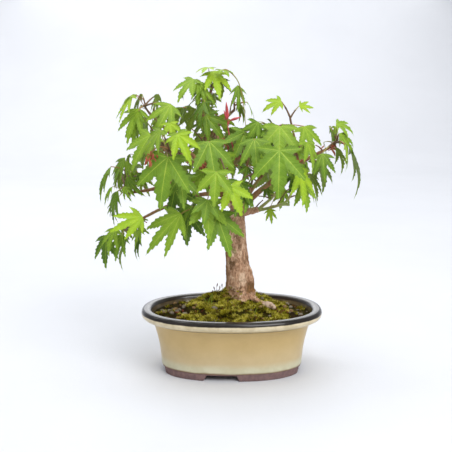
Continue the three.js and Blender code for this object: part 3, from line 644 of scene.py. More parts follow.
def outward_turn(point):
    return math.degrees(math.atan2(point[1] - CROWN_AXIS[1], point[0] - CROWN_AXIS[0]))


def add_twig(mass, line, leaf, kind, rule, wanted=False):
    """Twig with a leaf at its end. A leaf that is not wanted in any case is kept only where it fits."""
    points = spread(line, SAMPLE_STEP)[1:]
    blade = leaf_samples(leaf)
    if not (wanted or fits(mass, points, blade, rule)):
        return False
    mass["sprigs"].append({"line": line, "leaf": leaf, "kind": kind, "fine": rule is FINE})
    if len(points):
        mass["lines"].append(points)
    mass["blades"].append(blade)
    return True


def add_pair(mass, node, rule):
    """Two leaves on stalks, one on each side of a node."""
    for side in (-1, 1):
        size, swing, reach, drop, tilt = [next(mass["next"]) for _ in range(5)]
        length = mass["leaf"] * rule["leaf_size"] * above(PAIR_LEAF, size)
        turn = outward_turn(node) + side * PAIR_TURN + about(PAIR_SPANS["turn"], swing)
        stalk_turn = math.radians(turn + side * PAIR_TURN)
        stalk = length * above(STALK_LENGTH, reach)
        at = node + np.array([math.cos(stalk_turn), math.sin(stalk_turn), STALK_RISE]) * stalk
        hang = mass["hang"] + about(PAIR_SPANS["hang"], drop)
        leaf = new_leaf(at, length, turn, hang, side * PAIR_LEAN + about(PAIR_SPANS["lean"], tilt))
        add_twig(mass, arch(node, leaf["at"], stalk * STALK_ARCH, STALK_PARTS), leaf, "stalk", rule)


def add_shoot(mass, start, leaf, rule, wanted=False):
    reach = norm(leaf["at"] - start)
    line = arch(start, leaf["at"], reach * TWIG_ARCH, TWIG_PARTS)
    if add_twig(mass, line, leaf, "shoot", rule, wanted):
        mass["shoots"].append(line)


def add_pairs(mass, rule):
    for line in [mass["stem"]] + list(mass["shoots"]):
        reach = norm(line[-1] - line[0])
        pairs = min(rule["most_pairs"], int(reach / rule["pair_step"]))
        for i in range(1, pairs + 1):
            add_pair(mass, line[math.floor((len(line) - 1) * i / (pairs + 1) + 0.5)], rule)


def stem_line(mass):
    path = smooth_path(LIMBS[mass["limb"]][1], PATH_STEP)
    along = (path[-1] - path[-2]) / norm(path[-1] - path[-2])
    start = path[-1] + along * CLEAR
    return np.vstack([[start], arch(start + along * STEM_STRAIGHT, mass["end"], 0, STEM_PARTS)])


def add_leads(mass, rule):
    mass["stem"] = stem_line(mass)
    mass["lines"].append(spread(mass["stem"], SAMPLE_STEP))
    for i, (x, y, z, turn, lean, length) in enumerate(mass["leads"]):
        leaf = new_leaf((x, y, z), length, turn, mass["hang"], lean)
        leaf["tint"] = mass["tints"][i]
        add_shoot(mass, mass["stem"][len(mass["stem"]) - 1 - i % LEAD_FEET], leaf, rule, wanted=True)


def add_shoots(mass, rule, tries, most):
    """Seeded shoots: they fan out from the stem, one after another a golden angle further."""
    for i in range(tries):
        swing, reach, rise, turn, drop, tilt, size = [next(mass["next"]) for _ in range(7)]
        angle = math.radians(i * GOLDEN_ANGLE + about(SHOOT_SPANS["angle"], swing))
        wide = above(SHOOT_WIDTH, reach)
        x, y, z = mass["reach"]
        aside = np.array([x * wide * math.cos(angle), y * wide * math.sin(angle), z * about(2, rise)])
        at = mass["end"] + aside
        turn = outward_turn(at) + about(SHOOT_SPANS["turn"], turn)
        hang = mass["hang"] + about(SHOOT_SPANS["hang"], drop)
        length = mass["leaf"] * rule["leaf_size"] * above(SHOOT_LEAF, size)
        leaf = new_leaf(at, length, turn, hang, about(SHOOT_SPANS["lean"], tilt))
        if len(mass["sprigs"]) < most:
            add_shoot(mass, mass["stem"][len(mass["stem"]) - 1 - i % SHOOT_FEET], leaf, rule)


# %% Growing the crown
FINE_SHOOT_TRIES = 36

crown = [dict(zip(COLUMNS, row)) for row in MASSES]
for mass in crown:
    mass.update(end=np.array(mass["end"], float), next=numbers(mass["seed"]),
                sprigs=[], lines=[], blades=[], shoots=[])
for mass in crown:
    add_leads(mass, COARSE)
for mass in crown:
    add_pairs(mass, COARSE)
for mass in crown:
    add_shoots(mass, COARSE, SHOOT_TRIES, mass["most"])
print("leaves of the solids:", sum(len(mass["sprigs"]) for mass in crown))
for mass in crown:
    mass["most"] = len(mass["sprigs"]) + mass["finer"]
for mass in crown:
    add_pairs(mass, FINE)
for mass in crown:
    add_shoots(mass, FINE, FINE_SHOOT_TRIES, mass["most"])
print("with the finer leaves:", sum(len(mass["sprigs"]) for mass in crown))

# %% [markdown]
# ## Leaves set and plucked one by one
# A rule gives the habit of a crown, but the leaves that one sees first should stand where they do on the
# real plant. So a few are set one by one, each on a stalk from the nearest point of its mass's stem. And
# leaves are plucked where the real crown is open: in a notch beside the apex, behind the red buds and over
# the stub. The large leaves of three masses are plucked too and come again in the list, turned a little.

# %% Leaves set and plucked one by one
# Mass, position, the side that the leaf faces, hang, lean, length, tint, and the spread of its lobes.
KNOWN_LEAVES = [
    ("foliage_right", (37, -5, 147), -80, 84, 10, 15, "l", 0.6),
    ("foliage_right", (42, -55, 202), -88, 66, -2, 41, "m", 1.0),
    ("foliage_right", (33, -10, 165), -70, 60, 20, 11, "d", 0.9),
    ("foliage_low_front", (-38, -52, 150), -120, 66, -40, 49, "f", 0.64),
    ("foliage_apex", (-16, -2, 269), -120, 8, 10, 17, "l", 0.9),
    ("foliage_apex", (-5, -4, 267), -50, 12, -10, 15, "f", 0.9),
    ("foliage_apex", (-25, -8, 258), -85, 74, 18, 36, "f", 0.4),
    ("foliage_apex", (-19, 3, 228), -85, 72, 38, 29, "m", 0.75),
    ("foliage_top_right", (9, -4, 254), -70, 76, 0, 24, "m", 0.45),
    ("foliage_upper_left", (-80, -2, 246), -150, 20, 0, 13, "f", 0.9),
    ("foliage_upper_left", (-76, -8, 232), -110, 80, -10, 34, "f", 0.45),
    ("foliage_far_right", (94, -4, 221), -60, 40, 60, 20, "f", 0.8),
    ("foliage_front_left", (-48, -30, 223), -80, 58, 10, 18, "l", 0.9),
]
# Numbers of the sprigs, in the order in which they grew.
PLUCKED = {
    "foliage_top_right": [0, 1, 2, 3],
    "foliage_apex": [6],
    "foliage_back": [2, 9, 12],
    "foliage_front": [4, 7],
    "foliage_front_right": [1, 3],
    "foliage_upper_left": [5],
    "foliage_right": [0],
    "foliage_low_front": [0],
}

for name, at, turn, hang, lean, length, tint, spread_out in KNOWN_LEAVES:
    mass = next(mass for mass in crown if mass["name"] == name)
    leaf = new_leaf(at, length, turn, hang, lean)
    leaf["tint"], leaf["spread"] = tint, spread_out
    start = mass["stem"][np.argmin([norm(point - leaf["at"]) for point in mass["stem"]])]
    line = arch(start, leaf["at"], norm(leaf["at"] - start) * TWIG_ARCH, TWIG_PARTS)
    mass["sprigs"].append({"line": line, "leaf": leaf, "kind": "stalk", "fine": True})
for mass in crown:
    gone = PLUCKED.get(mass["name"], [])
    mass["sprigs"] = [sprig for i, sprig in enumerate(mass["sprigs"]) if i not in gone]
print("leaves in all:", sum(len(mass["sprigs"]) for mass in crown))

# %% [markdown]
# ## The leaf blade
# A Japanese maple leaf has five lobes with toothed edges, long tips and a pale rib along each. The blade is
# drawn once as a small grid: rows across every lobe, from its rib to its edge. The upper and the lower side
# share the edge, so it is a closed thin body. A second blade with fewer rows serves the small leaves. Every
# leaf is a copy of one of them, bent and turned in arrays, because so many are too much to model one by
# one.

# %% Leaf blade: outline of a lobe
PALM_ROWS = 3
PALM_LEAST = 0.3
SINUS_RADII = [0.26, 0.36, 0.36, 0.26]
TAPER = [(0.56, 0.168), (0.66, 0.142), (0.76, 0.096), (0.86, 0.048), (0.94, 0.018), (1, 0)]
HEEL = [(0, 0), (0.1, 0.06), (0.24, 0.125), (0.42, 0.165)]
TOOTH_DEPTH = 0.026
TOOTH_LEAN = 0.03
TOOTH_FADE = 0.6
TAPER_GAP = 0.1
RIB_HALF_WIDTH = 0.011
RIB_TAPER = 0.7
RIB_RISE = 0.006
BLADE_HALF_THICKNESS = 0.0045


def lobe_edges(index):
    """Foot of a lobe's free edge on both sides, as its place along the lobe and its half width there."""
    degrees, length = LOBES[index]
    feet = []
    for side, neighbour in ((-1, index - 1), (1, index + 1)):
        if 0 <= neighbour < len(LOBES):
            gap = math.radians(abs(LOBES[neighbour][0] - degrees)) / 2
            radius = SINUS_RADII[min(index, neighbour)]
            feet.append((radius * math.cos(gap) / length, radius * math.sin(gap) / length))
        else:
            feet.append((0, 0))
    return feet


def edge_profile(foot, rows):
    """Places and half widths along a free edge, with teeth that lean towards the tip."""
    start, width = foot
    taper = [(start, width)] + [place for place in TAPER if place[0] > start + TAPER_GAP]
    curve = np.array(taper if start else HEEL + TAPER, float)
    profile = []
    for row in range(rows + 1):
        share = start + (1 - start) * row / rows
        half = np.interp(share, curve[:, 0], curve[:, 1])
        tooth = row % 2 if 0 < row < rows else 0
        notch = (row + 1) % 2 if 0 < row < rows else 0
        fade = 1 - TOOTH_FADE * row / rows
        profile.append((share + TOOTH_LEAN * tooth, max(half + TOOTH_DEPTH * fade * (tooth - notch), 0)))
    return profile


# %% Leaf blade: the grid
LARGE_ROWS = 11
SMALL_ROWS = 7


def blade_pattern(free_rows):
    """One flat leaf, a unit long: its points (forward, sideways, rise) and how far each is from its rib, its
    faces and their kinds, and as marks each corner's place along and across its lobe, for the veins."""
    points, ribs, index_of, faces, kinds, places, marks = [], [], {}, [], [], {}, []

    def point(lobe, along, across, rise, rib):
        degrees, length = LOBES[lobe]
        angle = math.radians(degrees)
        x = length * (along * math.cos(angle) - across * math.sin(angle))
        y = length * (along * math.sin(angle) + across * math.cos(angle))
        key = (round(x, 4), round(y, 4), round(rise, 5))
        if key not in index_of:
            index_of[key] = len(points)
            points.append((x, y, rise))
            ribs.append(rib * length)
        places[lobe, index_of[key]] = (along, abs(across))
        return index_of[key]

    def face(corners, kind, flip):
        corners = [c for i, c in enumerate(corners) if c != corners[i - 1]]
        if len(corners) > 2:
            faces.append(corners if flip else corners[::-1])
            kinds.append(kind)
            marks.extend(places[lobe, corner] for corner in faces[-1])

    for lobe in range(len(LOBES)):
        feet = lobe_edges(lobe)
        palm = max(PALM_LEAST, (feet[0][0] + feet[1][0]) / 2)
        ribs_at = [palm * k / PALM_ROWS for k in range(PALM_ROWS)]
        ribs_at += [palm + (1 - palm) * k / free_rows for k in range(free_rows + 1)]
        edges = []
        for foot in feet:
            if foot[0]:
                edge = [(foot[0] * k / PALM_ROWS, foot[1] * k / PALM_ROWS) for k in range(PALM_ROWS)]
                edges.append(edge + edge_profile(foot, free_rows))
            else:
                edges.append(edge_profile(foot, free_rows + PALM_ROWS))
        rows = []
        last = len(ribs_at) - 1
        for k, along in enumerate(ribs_at):
            thin = 0 if k in (0, last) else 1
            half = RIB_HALF_WIDTH * thin * (1 - RIB_TAPER * k / last)
            row = [point(lobe, along, side * half, RIB_RISE * thin, half) for side in (-1, 1)]
            under = point(lobe, along, 0, -BLADE_HALF_THICKNESS * thin, 0)
            sides = []
            for side, edge, foot in ((-1, edges[0], feet[0]), (1, edges[1], feet[1])):
                place, width = edge[k]
                free = k >= PALM_ROWS or not foot[0] or k == 0
                lift = 0 if free else BLADE_HALF_THICKNESS
                top = point(lobe, place, side * width, lift, width)
                bottom = point(lobe, place, side * width, -lift, width)
                middle = point(lobe, (place + along) / 2, side * (width + half) / 2,
                               BLADE_HALF_THICKNESS * thin, width / 2)
                sides.append((top, bottom, middle))
            rows.append((row, under, sides))
        for (row, under, sides), (next_row, next_under, next_sides) in zip(rows, rows[1:]):
            face([row[0], next_row[0], next_row[1], row[1]], "rib", True)
            for s in (0, 1):
                top, bottom, middle = sides[s]
                next_top, next_bottom, next_middle = next_sides[s]
                face([row[s], next_row[s], next_middle, middle], "blade", s == 1)
                face([middle, next_middle, next_top, top], "blade", s == 1)
                face([under, next_under, next_bottom, bottom], "under", s == 0)
    return {"points": np.array(points), "ribs": np.array(ribs), "faces": faces, "kinds": kinds,
            "marks": marks}


LARGE_BLADE = blade_pattern(LARGE_ROWS)
SMALL_BLADE = blade_pattern(SMALL_ROWS)
for blade in (LARGE_BLADE, SMALL_BLADE):
    print("points and faces of a blade:", len(blade["points"]), len(blade["faces"]))

# %% Leaf blade: bending a copy into place
SMALL_LEAF = 24
DROOP_RANGE = (0.1, 0.14)
FOLD_RANGE = (0.05, 0.4)
CURL_RANGE = (-0.05, 0.3)
CURL_FROM = 0.55
CURL_GAIN = 4
TWIST_SPAN = 0.5
CLOSE_RANGE = (0.8, 0.3)


def bend_leaf(leaf, spread_out, chance):
    """Points of a leaf with its chance droop, fold, curl, twist and spread, and the pattern behind them."""
    droop, fold, curl, twist, close = chance.random(5)
    pattern = SMALL_BLADE if leaf["length"] < SMALL_LEAF else LARGE_BLADE
    points, ribs = pattern["points"], pattern["ribs"]
    reach = np.hypot(points[:, 0], points[:, 1])
    spread_out = leaf.get("spread") or min(above(CLOSE_RANGE, close), 1) * spread_out
    angle = np.arctan2(points[:, 1], points[:, 0]) * spread_out
    x, y = reach * np.cos(angle), reach * np.sin(angle)
    rise = points[:, 2] - above(DROOP_RANGE, droop) * reach ** 2 + above(FOLD_RANGE, fold) * ribs
    rise -= above(CURL_RANGE, curl) * np.maximum(reach - CURL_FROM, 0) ** 2 * CURL_GAIN
    rise += about(TWIST_SPAN, twist) * x * y
    flat = x[:, None] * leaf["axis"] + y[:, None] * leaf["side"] + rise[:, None] * leaf["face"]
    return leaf["at"] + flat * leaf["length"], pattern


# %% [markdown]
# ## Leaf tints
# Young leaves are lime, grown ones a fresh or a full green, and the deepest tint is painted shade for
# leaves inside and low in the crown. Each tint is one material, dealt out leaf by leaf. Its green varies in
# soft patches, and fine relief breaks up the shine.
# Ribs and undersides are paler. Side veins would take far too many faces as geometry and would blur as an
# image, so a node group draws them from each point's place along and across its lobe, which the mesh holds
# as a UV map.

# %% Side veins, an effect that every leaf tint shares
VEIN_WAVE = 0.5
VEIN_EDGE = 0.1
VEIN_CORE = 0.02
AWAY_WIDTH = 0.15


def make_side_veins():
    """Slanting lines at both sides of a lobe's rib, and how far a place is from the rib."""
    group, given, result = new_group(
        "side_veins",
        [("Vector", "NodeSocketVector", None), ("Count", "NodeSocketFloat", 9.0),
         ("Slant", "NodeSocketFloat", -0.9)],
        [("Lines", "NodeSocketFloat"), ("Away", "NodeSocketFloat")])
    place = add_node(group, "ShaderNodeSeparateXYZ", {"Vector": given["Vector"]}).outputs
    slanted = calculate(group, "MULTIPLY_ADD", place["Y"], given["Slant"], place["X"])
    counted = calculate(group, "MULTIPLY", slanted, given["Count"])
    wave = calculate(group, "PINGPONG", counted, VEIN_WAVE)
    away = add_node(group, "ShaderNodeMapRange", {"Value": place["Y"], "From Max": AWAY_WIDTH})
    fill(group, result, {"Lines": smooth_step(group, wave, VEIN_EDGE, VEIN_CORE),
                         "Away": away.outputs["Result"]})
    return group


VEINS = make_side_veins()

# %% Leaf materials
VEIN_SHARE = 0.4
MIDDLE_LIGHT = 1.12
EDGE_LIGHT = 0.86
VEIN_LIGHT = 1.7
# Letter, name and the two greens of each tint.
TINTS = {
    "l": ("lime_leaf", paint(160, 190, 34), paint(142, 178, 30)),
    "f": ("fresh_leaf", paint(134, 166, 38), paint(120, 155, 34)),
    "m": ("grown_leaf", paint(116, 150, 34), paint(100, 136, 28)),
    "d": ("shaded_leaf", paint(94, 128, 26), paint(78, 112, 20)),
}


def lighter(colour, factor):
    return tuple(min(value * factor, 1) for value in colour[:3]) + (1,)


def make_leaf_finish(name, first, second):
    """Green that is deeper towards the edges of a lobe, with paler side veins sunk a little into it."""
    finish = Finish(name, 0.48)
    places = finish.tree.nodes.new("ShaderNodeUVMap")
    places.uv_map = "vein_places"
    veins = add_effect(finish.tree, VEINS, {"Vector": places.outputs["UV"]})
    middle = finish.mottle(lighter(first, MIDDLE_LIGHT), lighter(second, MIDDLE_LIGHT), 180, spread=0.2)
    edge = finish.mottle(lighter(first, EDGE_LIGHT), lighter(second, EDGE_LIGHT), 180, spread=0.2)
    green = finish.blend(middle, edge, veins["Away"])
    lines = calculate(finish.tree, "MULTIPLY", veins["Lines"], VEIN_SHARE)
    finish.colour(finish.blend(green, lighter(first, VEIN_LIGHT), lines))
    finish.bump(900, 0.25, share=0.5, lines=veins["Lines"])
    finish.shade({"Specular IOR Level": 0.35})
    return finish.material


LEAF_FINISHES = [make_leaf_finish(*tint) for tint in TINTS.values()]
LEAF_FINISHES.append(make_leaf_finish("leaf_rib", paint(156, 176, 62), paint(142, 166, 52)))
LEAF_FINISHES.append(make_leaf_finish("leaf_underside", paint(134, 158, 52), paint(120, 146, 44)))
TINT_SLOTS = {letter: i for i, letter in enumerate(TINTS)}
RIB_SLOT = len(TINTS)
UNDER_SLOT = len(TINTS) + 1
print("leaf materials:", len(LEAF_FINISHES))

# %% [markdown]
# ## Leaves
# The leaves are joined by the part of the crown that they stand in, so each piece takes the place of whole
# masses of the frame. A mesh built from arrays is quick, and it carries the slot of every face and the
# places for the veins.

# %% Parts of the crown, and meshes from arrays
CROWN_PARTS = {
    "leaves_top": ["foliage_apex", "foliage_top_right"],
    "leaves_left": ["foliage_upper_left", "foliage_left", "foliage_low_left", "foliage_back_left"],
    "leaves_front": ["foliage_front_left", "foliage_front", "foliage_low_front", "foliage_front_right"],
    "leaves_right": ["foliage_right", "foliage_right_low", "foliage_mid_right", "foliage_far_right",
                     "foliage_upper_right"],
    "leaves_back": ["foliage_inner_right", "foliage_back_right", "foliage_back"],
}
SMOOTH_ANGLE = math.radians(40)


def new_mesh_object(name, points, faces, slots, materials, marks=()):
    """Mesh from arrays: points in millimetres, faces, the material slot of each face, and the places of the
    faces' corners for the veins."""
    mesh = bpy.data.meshes.new(name)
    mesh.from_pydata([tuple(p) for p in np.asarray(points) * MM], [], faces)
    mesh.update()
    for material in materials:
        mesh.materials.append(material)
    mesh.polygons.foreach_set("material_index", slots)
    if len(marks):
        mesh.uv_layers.new(name="vein_places").data.foreach_set("uv", np.array(marks, float).ravel())
    thing = bpy.data.objects.new(name, mesh)
    bpy.context.scene.collection.objects.link(thing)
    select_only(thing)
    bpy.ops.object.shade_smooth_by_angle(angle=SMOOTH_ANGLE)
    return thing


class Bundle:
    """Many small bodies that become one mesh. All faces of a body have one slot, or each has its own."""

    def __init__(self):
        self.points, self.faces, self.slots, self.marks, self.total = [], [], [], [], 0

    def add(self, points, faces, slot, marks=()):
        self.points.append(np.array(points))
        self.faces += [[corner + self.total for corner in face] for face in faces]
        self.slots += slot if isinstance(slot, list) else [slot] * len(faces)
        self.marks += marks
        self.total += len(points)

    def build(self, name, materials):
        return new_mesh_object(name, np.vstack(self.points), self.faces, self.slots, materials, self.marks)


# %% Leaf pieces
DEPTH_STRETCH = 1.4
CROWN_REACH = 110
CROWN_FOOT = 120
CROWN_RISE = 150
# Painted light: leaves far out and high in the crown tend to the lighter tints, and inner, low ones to the
# painted shade of the deepest.
PLACE_SHARE = 0.5
PLACE_MIDDLE = 0.9
TINT_BOUNDS = [("l", 1.12), ("f", 0.68), ("m", 0.3)]
DEEPEST_TINT = "d"


def leaf_tint(leaf, chance):
    """Letter of a leaf's tint: its own, else by chance, and deeper inside the crown and low down than at its
    rim and top: young leaves at the rim, and painted shade inside.
    """
    at = leaf["at"]
    outside = np.hypot(at[0] - CROWN_AXIS[0], (at[1] - CROWN_AXIS[1]) * DEPTH_STRETCH) / CROWN_REACH
    height = (at[2] - CROWN_FOOT) / CROWN_RISE
    number = chance.random() + PLACE_SHARE * (outside + height - PLACE_MIDDLE)
    by_chance = next((letter for letter, bound in TINT_BOUNDS if number > bound), DEEPEST_TINT)
    return leaf.get("tint") or by_chance


for part, (piece_name, members) in enumerate(CROWN_PARTS.items()):
    chance = np.random.RandomState(part + 1)
    leaves = Bundle()
    for mass in crown:
        if mass["name"] not in members:
            continue
        for sprig in mass["sprigs"]:
            tint = TINT_SLOTS[leaf_tint(sprig["leaf"], chance)]
            placed, pattern = bend_leaf(sprig["leaf"], mass["spread_out"], chance)
            slots = [{"blade": tint, "rib": RIB_SLOT, "under": UNDER_SLOT}[kind] for kind in pattern["kinds"]]
            leaves.add(placed, pattern["faces"], slots, pattern["marks"])
    piece = leaves.build(piece_name, LEAF_FINISHES)
    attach(piece, "root")
    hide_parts(*members)
    print(piece_name, "faces:", len(piece.data.polygons))

# %% [markdown]
# ## Twigs and leaf stalks
# From the tip of every limb a stem runs into its mass of leaves, shoots leave it, and each leaf hangs on a
# thin stalk. They are the growth rule's own lines, so they end exactly at their leaves. Each line gets a
# tube from arrays: a shoot is twig for the first part of its way and leaf stalk from there on.

# %% Twigs: tubes along lines
TUBE_SIDES = 6
TUBE_STEP = 2.2
NODE_SWELL = 0.22
NODE_SHARPNESS = 60
NODE_SPACING = 9


def fine_line(line, step):
    """The line as a smooth curve with evenly spaced points, and its length."""
    length = sum(norm(b - a) for a, b in zip(line, line[1:]))
    count = max(3, math.ceil(length / step))
    return np.array([curve_point(line, i / count) for i in range(count + 1)]), length


def tube(line, radii, sides):
    """Points and faces of a closed tube around a line of points."""
    ways = np.gradient(line, axis=0)
    ways /= norm(ways, axis=1)[:, None]
    points, faces = [], []
    across = np.cross(ways[0], (0.3, 0.5, 0.81))
    for i, (middle, way, radius) in enumerate(zip(line, ways, radii)):
        across = across - way * np.dot(across, way)
        across /= norm(across)
        other = np.cross(way, across)
        for k in range(sides):
            angle = 2 * math.pi * k / sides
            points.append(middle + radius * (math.cos(angle) * across + math.sin(angle) * other))
    for i in range(len(line) - 1):
        for k in range(sides):
            a, b = i * sides + k, i * sides + (k + 1) % sides
            faces.append([a, b, b + sides, a + sides])
    faces.append(list(range(sides))[::-1])
    faces.append([(len(line) - 1) * sides + k for k in range(sides)])
    return points, faces


def twig_radii(line, length, thick, thin):
    """Radii along a twig, with a slight swelling at each node."""
    shares = np.linspace(0, 1, len(line))
    swell = np.exp(-((shares * length / NODE_SPACING) % 1 - 0.5) ** 2 * NODE_SHARPNESS)
    return (thick + (thin - thick) * shares) * (1 + NODE_SWELL * swell)


# %% Twigs: materials and pieces
def make_twig_finish(name, first, second, scale):
    return Finish(name, 0.55).plain(first, second, scale, 0.2, 700, 0.3)


TWIG_FINISHES = [
    make_twig_finish("brown_twig", paint(124, 92, 62), paint(96, 74, 46), 160),
    make_twig_finish("green_twig", paint(132, 134, 70), paint(140, 110, 62), 120),
]
STALK_FINISHES = [
    make_twig_finish("green_stalk", paint(150, 160, 80), paint(160, 130, 70), 90),
    make_twig_finish("red_stalk", paint(170, 92, 70), paint(150, 120, 64), 90),
    make_twig_finish("red_bud", paint(214, 84, 92), paint(178, 66, 66), 160),
    make_twig_finish("bud_scale", paint(168, 82, 48), paint(136, 62, 40), 200),
]
BROWN_TWIG, GREEN_TWIG = range(2)
GREEN_STALK, RED_STALK, RED_BUD, BUD_SCALE = range(4)
print("twig and stalk materials:", len(TWIG_FINISHES) + len(STALK_FINISHES))

# %% Twigs and stalks of the masses
TWIG_SHARE = 0.6
STEM_OVERLAP = 0.15
STEM_TIP_RADIUS = 0.8
TWIG_RADII = (0.9, 0.62)
SHOOT_STALK_RADIUS = 0.45
PAIR_STALK_RADIUS = 0.42
FINE_THICKNESS = 0.72
STALK_FOOT = 1.5
RED_STALK_SHARE = 0.35


def stalk_radii(count, radius):
    """Even radii, with a wider foot where the stalk leaves its twig."""
    radii = np.full(count, radius)
    radii[0] *= STALK_FOOT
    return radii


chance = np.random.RandomState(7)
twigs, stalks = Bundle(), Bundle()
for mass in crown:
    before, tip = smooth_path(LIMBS[mass["limb"]][1], PATH_STEP)[-2:]
    stem, length = fine_line(np.vstack([[tip - (tip - before) * STEM_OVERLAP], mass["stem"]]), TUBE_STEP)
    radii = twig_radii(stem, length, LIMBS[mass["limb"]][0][-1], STEM_TIP_RADIUS)
    twigs.add(*tube(stem, radii, TUBE_SIDES + 2), BROWN_TWIG)
    for sprig in mass["sprigs"]:
        line, length = fine_line(sprig["line"], TUBE_STEP)
        fine = FINE_THICKNESS if sprig["fine"] else 1
        stalk_slot = RED_STALK if chance.random() < RED_STALK_SHARE else GREEN_STALK
        if sprig["kind"] == "stalk":
            radii = stalk_radii(len(line), PAIR_STALK_RADIUS * fine)
            stalks.add(*tube(line, radii, TUBE_SIDES - 1), stalk_slot)
            continue
        end = max(1, round((len(line) - 1) * TWIG_SHARE))
        radii = twig_radii(line[:end + 1], length, TWIG_RADII[0] * fine, TWIG_RADII[1] * fine)
        twigs.add(*tube(line[:end + 1], radii, TUBE_SIDES), GREEN_TWIG if sprig["fine"] else BROWN_TWIG)
        radii = stalk_radii(len(line) - end, SHOOT_STALK_RADIUS * fine)
        stalks.add(*tube(line[end:], radii, TUBE_SIDES - 1), stalk_slot)
print("bodies of the masses:", len(twigs.points) + len(stalks.points))

# %% [markdown]
# ## Buds, bare twigs and loose shoots
# A crown of leaves alone looks too clean. Short bare twigs with a bud at the tip stand on all boughs, a few
# thin shoots have no mass of leaves, folded young leaves are still red, and dry scales hang in bunches
# where buds have opened. All are tubes again. What one sees at once has a set place, and the rest is dealt
# out.

# %% Buds, bare twigs and loose shoots
TWIGS_PER_BOUGH = 3
BARE_TWIG_LENGTH = (7, 10)
BARE_TWIG_RADII = (0.75, 0.4)
BARE_TWIG_BEND = 0.55
BARE_TWIG_LIFT = (0, 0, 0.8)
UPWARD_SHARE = 0.8
LIMB_WALK_STEP = 4
BUD_SHAPE = np.array([0.25, 0.8, 1, 0.95, 0.75, 0.45, 0.06])
BUD_RADIUS = 0.6
BUD_LENGTH = 1.1
# Young leaves that are still folded: foot, tip and greatest radius.
RED_BUDS = [
    ((0.3, -5, 225), (-1, -5.5, 240), 1.5),
    ((-0.6, -5, 225), (-3, -6, 233), 0.9),
    ((2.4, -5.2, 224), (12, -6, 227), 1.2),
]
# Shoots in known places: their points, their radius at both ends and their finish.
LOOSE_SHOOTS = [
    ([(8, 2, 188), (4.5, -2, 202), (0.8, -4, 216), (0.3, -5, 226)], 0.7, 0.4, RED_BUD),
    ([(0.6, -4.4, 220), (1.6, -5, 223), (3, -5.2, 224.4)], 0.7, 0.4, RED_BUD),
    ([(-5, -4, 266), (-1, -5, 267), (8.7, -5, 258), (14, -5, 237), (16, -5, 217)], 0.7, 0.25, GREEN_STALK),
    ([(-40, -34, 198), (-56, -56, 205), (-62, -62, 200)], 0.8, 0.5, RED_STALK),
]
# Bunches of dry bud scales: their middle, and how many.
SCALE_BUNCHES = [
    ((-62, -62, 198), 12), ((-20.5, 1, 185), 8), ((-36, -14, 149), 4), ((88, 2, 201), 7),
    ((64, 10, 186), 5), ((8, 2, 147), 4), ((-3, -6, 206), 5),
]
SCALE_SCATTER = 2.0
SCALE_LENGTH = (4, 8)
SCALE_RADIUS = (0.6, 1.0)
SCALE_DEPTH = 0.5
SCALE_HANG = 0.3
SCALE_BOW = (0.9, 0, 0)
BOW_ARC = 3.1

for name, (radii, points) in LIMBS.items():
    path = smooth_path(points, LIMB_WALK_STEP)
    for k in range(0 if name == "trunk" else TWIGS_PER_BOUGH):
        start = path[chance.randint(len(path) // 4, len(path) - 1)]
        way = np.array([chance.normal(), chance.normal(), abs(chance.normal()) * UPWARD_SHARE])
        way /= norm(way)
        reach = above(BARE_TWIG_LENGTH, chance.random())
        bend = start + way * reach * BARE_TWIG_BEND + BARE_TWIG_LIFT
        line = fine_line([start, bend, start + way * reach], TUBE_STEP)[0]
        twigs.add(*tube(line, np.linspace(*BARE_TWIG_RADII, len(line)), TUBE_SIDES), BROWN_TWIG)
        bud = np.linspace(line[-1], line[-1] + (line[-1] - line[-2]) * BUD_LENGTH, len(BUD_SHAPE))
        stalks.add(*tube(bud, BUD_SHAPE * BUD_RADIUS, TUBE_SIDES), BUD_SCALE)
for line, thick, thin, finish_slot in LOOSE_SHOOTS:
    line = fine_line([np.array(point, float) for point in line], TUBE_STEP)[0]
    stalks.add(*tube(line, np.linspace(thick, thin, len(line)), TUBE_SIDES), finish_slot)
for foot, tip, radius in RED_BUDS:
    line = np.linspace(foot, tip, len(BUD_SHAPE))
    stalks.add(*tube(line, BUD_SHAPE * radius, TUBE_SIDES + 2), RED_BUD)
bow = np.outer(np.sin(np.linspace(0, BOW_ARC, len(BUD_SHAPE))), SCALE_BOW)
for middle, count in SCALE_BUNCHES:
    for k in range(count):
        foot = np.array(middle) + chance.normal(0, SCALE_SCATTER, 3)
        way = np.array([chance.normal(), chance.normal() * SCALE_DEPTH, -abs(chance.normal()) - SCALE_HANG])
        tip = foot + way / norm(way) * chance.uniform(*SCALE_LENGTH)
        line = np.linspace(foot, tip, len(BUD_SHAPE)) + bow
        stalks.add(*tube(line, BUD_SHAPE * chance.uniform(*SCALE_RADIUS), TUBE_SIDES), BUD_SCALE)
MASS_NAMES = [mass["name"] for mass in crown]
twig_piece = twigs.build("twigs", TWIG_FINISHES)
stalk_piece = stalks.build("leaf_stalks", STALK_FINISHES)
for piece, slot_name in ((twig_piece, "bark"), (stalk_piece, "green_shoot")):
    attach(piece, "root")
    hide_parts(*MASS_NAMES)
    print(piece.name, "faces:", len(piece.data.polygons))

# %% [markdown]
# ## Trunk and boughs
# The trunk is a short thick taper that leans to the left above its first fork. A skin modifier would give
# round, smooth arms, so each limb is a circle extruded along its line, turned and scaled at every step, as
# one would do by hand. A voxel remesh then grows together the limbs, the root feet, one root that creeps
# over the soil to the right, and a burl on the right side. Clouds drawn out along the trunk displace it
# into bark.

# %% Limbs by extrusion
def turn_ring(turn, centre):
    """Turns the selected ring about its centre, one axis after another."""
    for axis, angle in zip("XYZ", turn.to_euler("XYZ")):
        bpy.ops.transform.rotate(value=-angle, orient_axis=axis, center_override=centre)


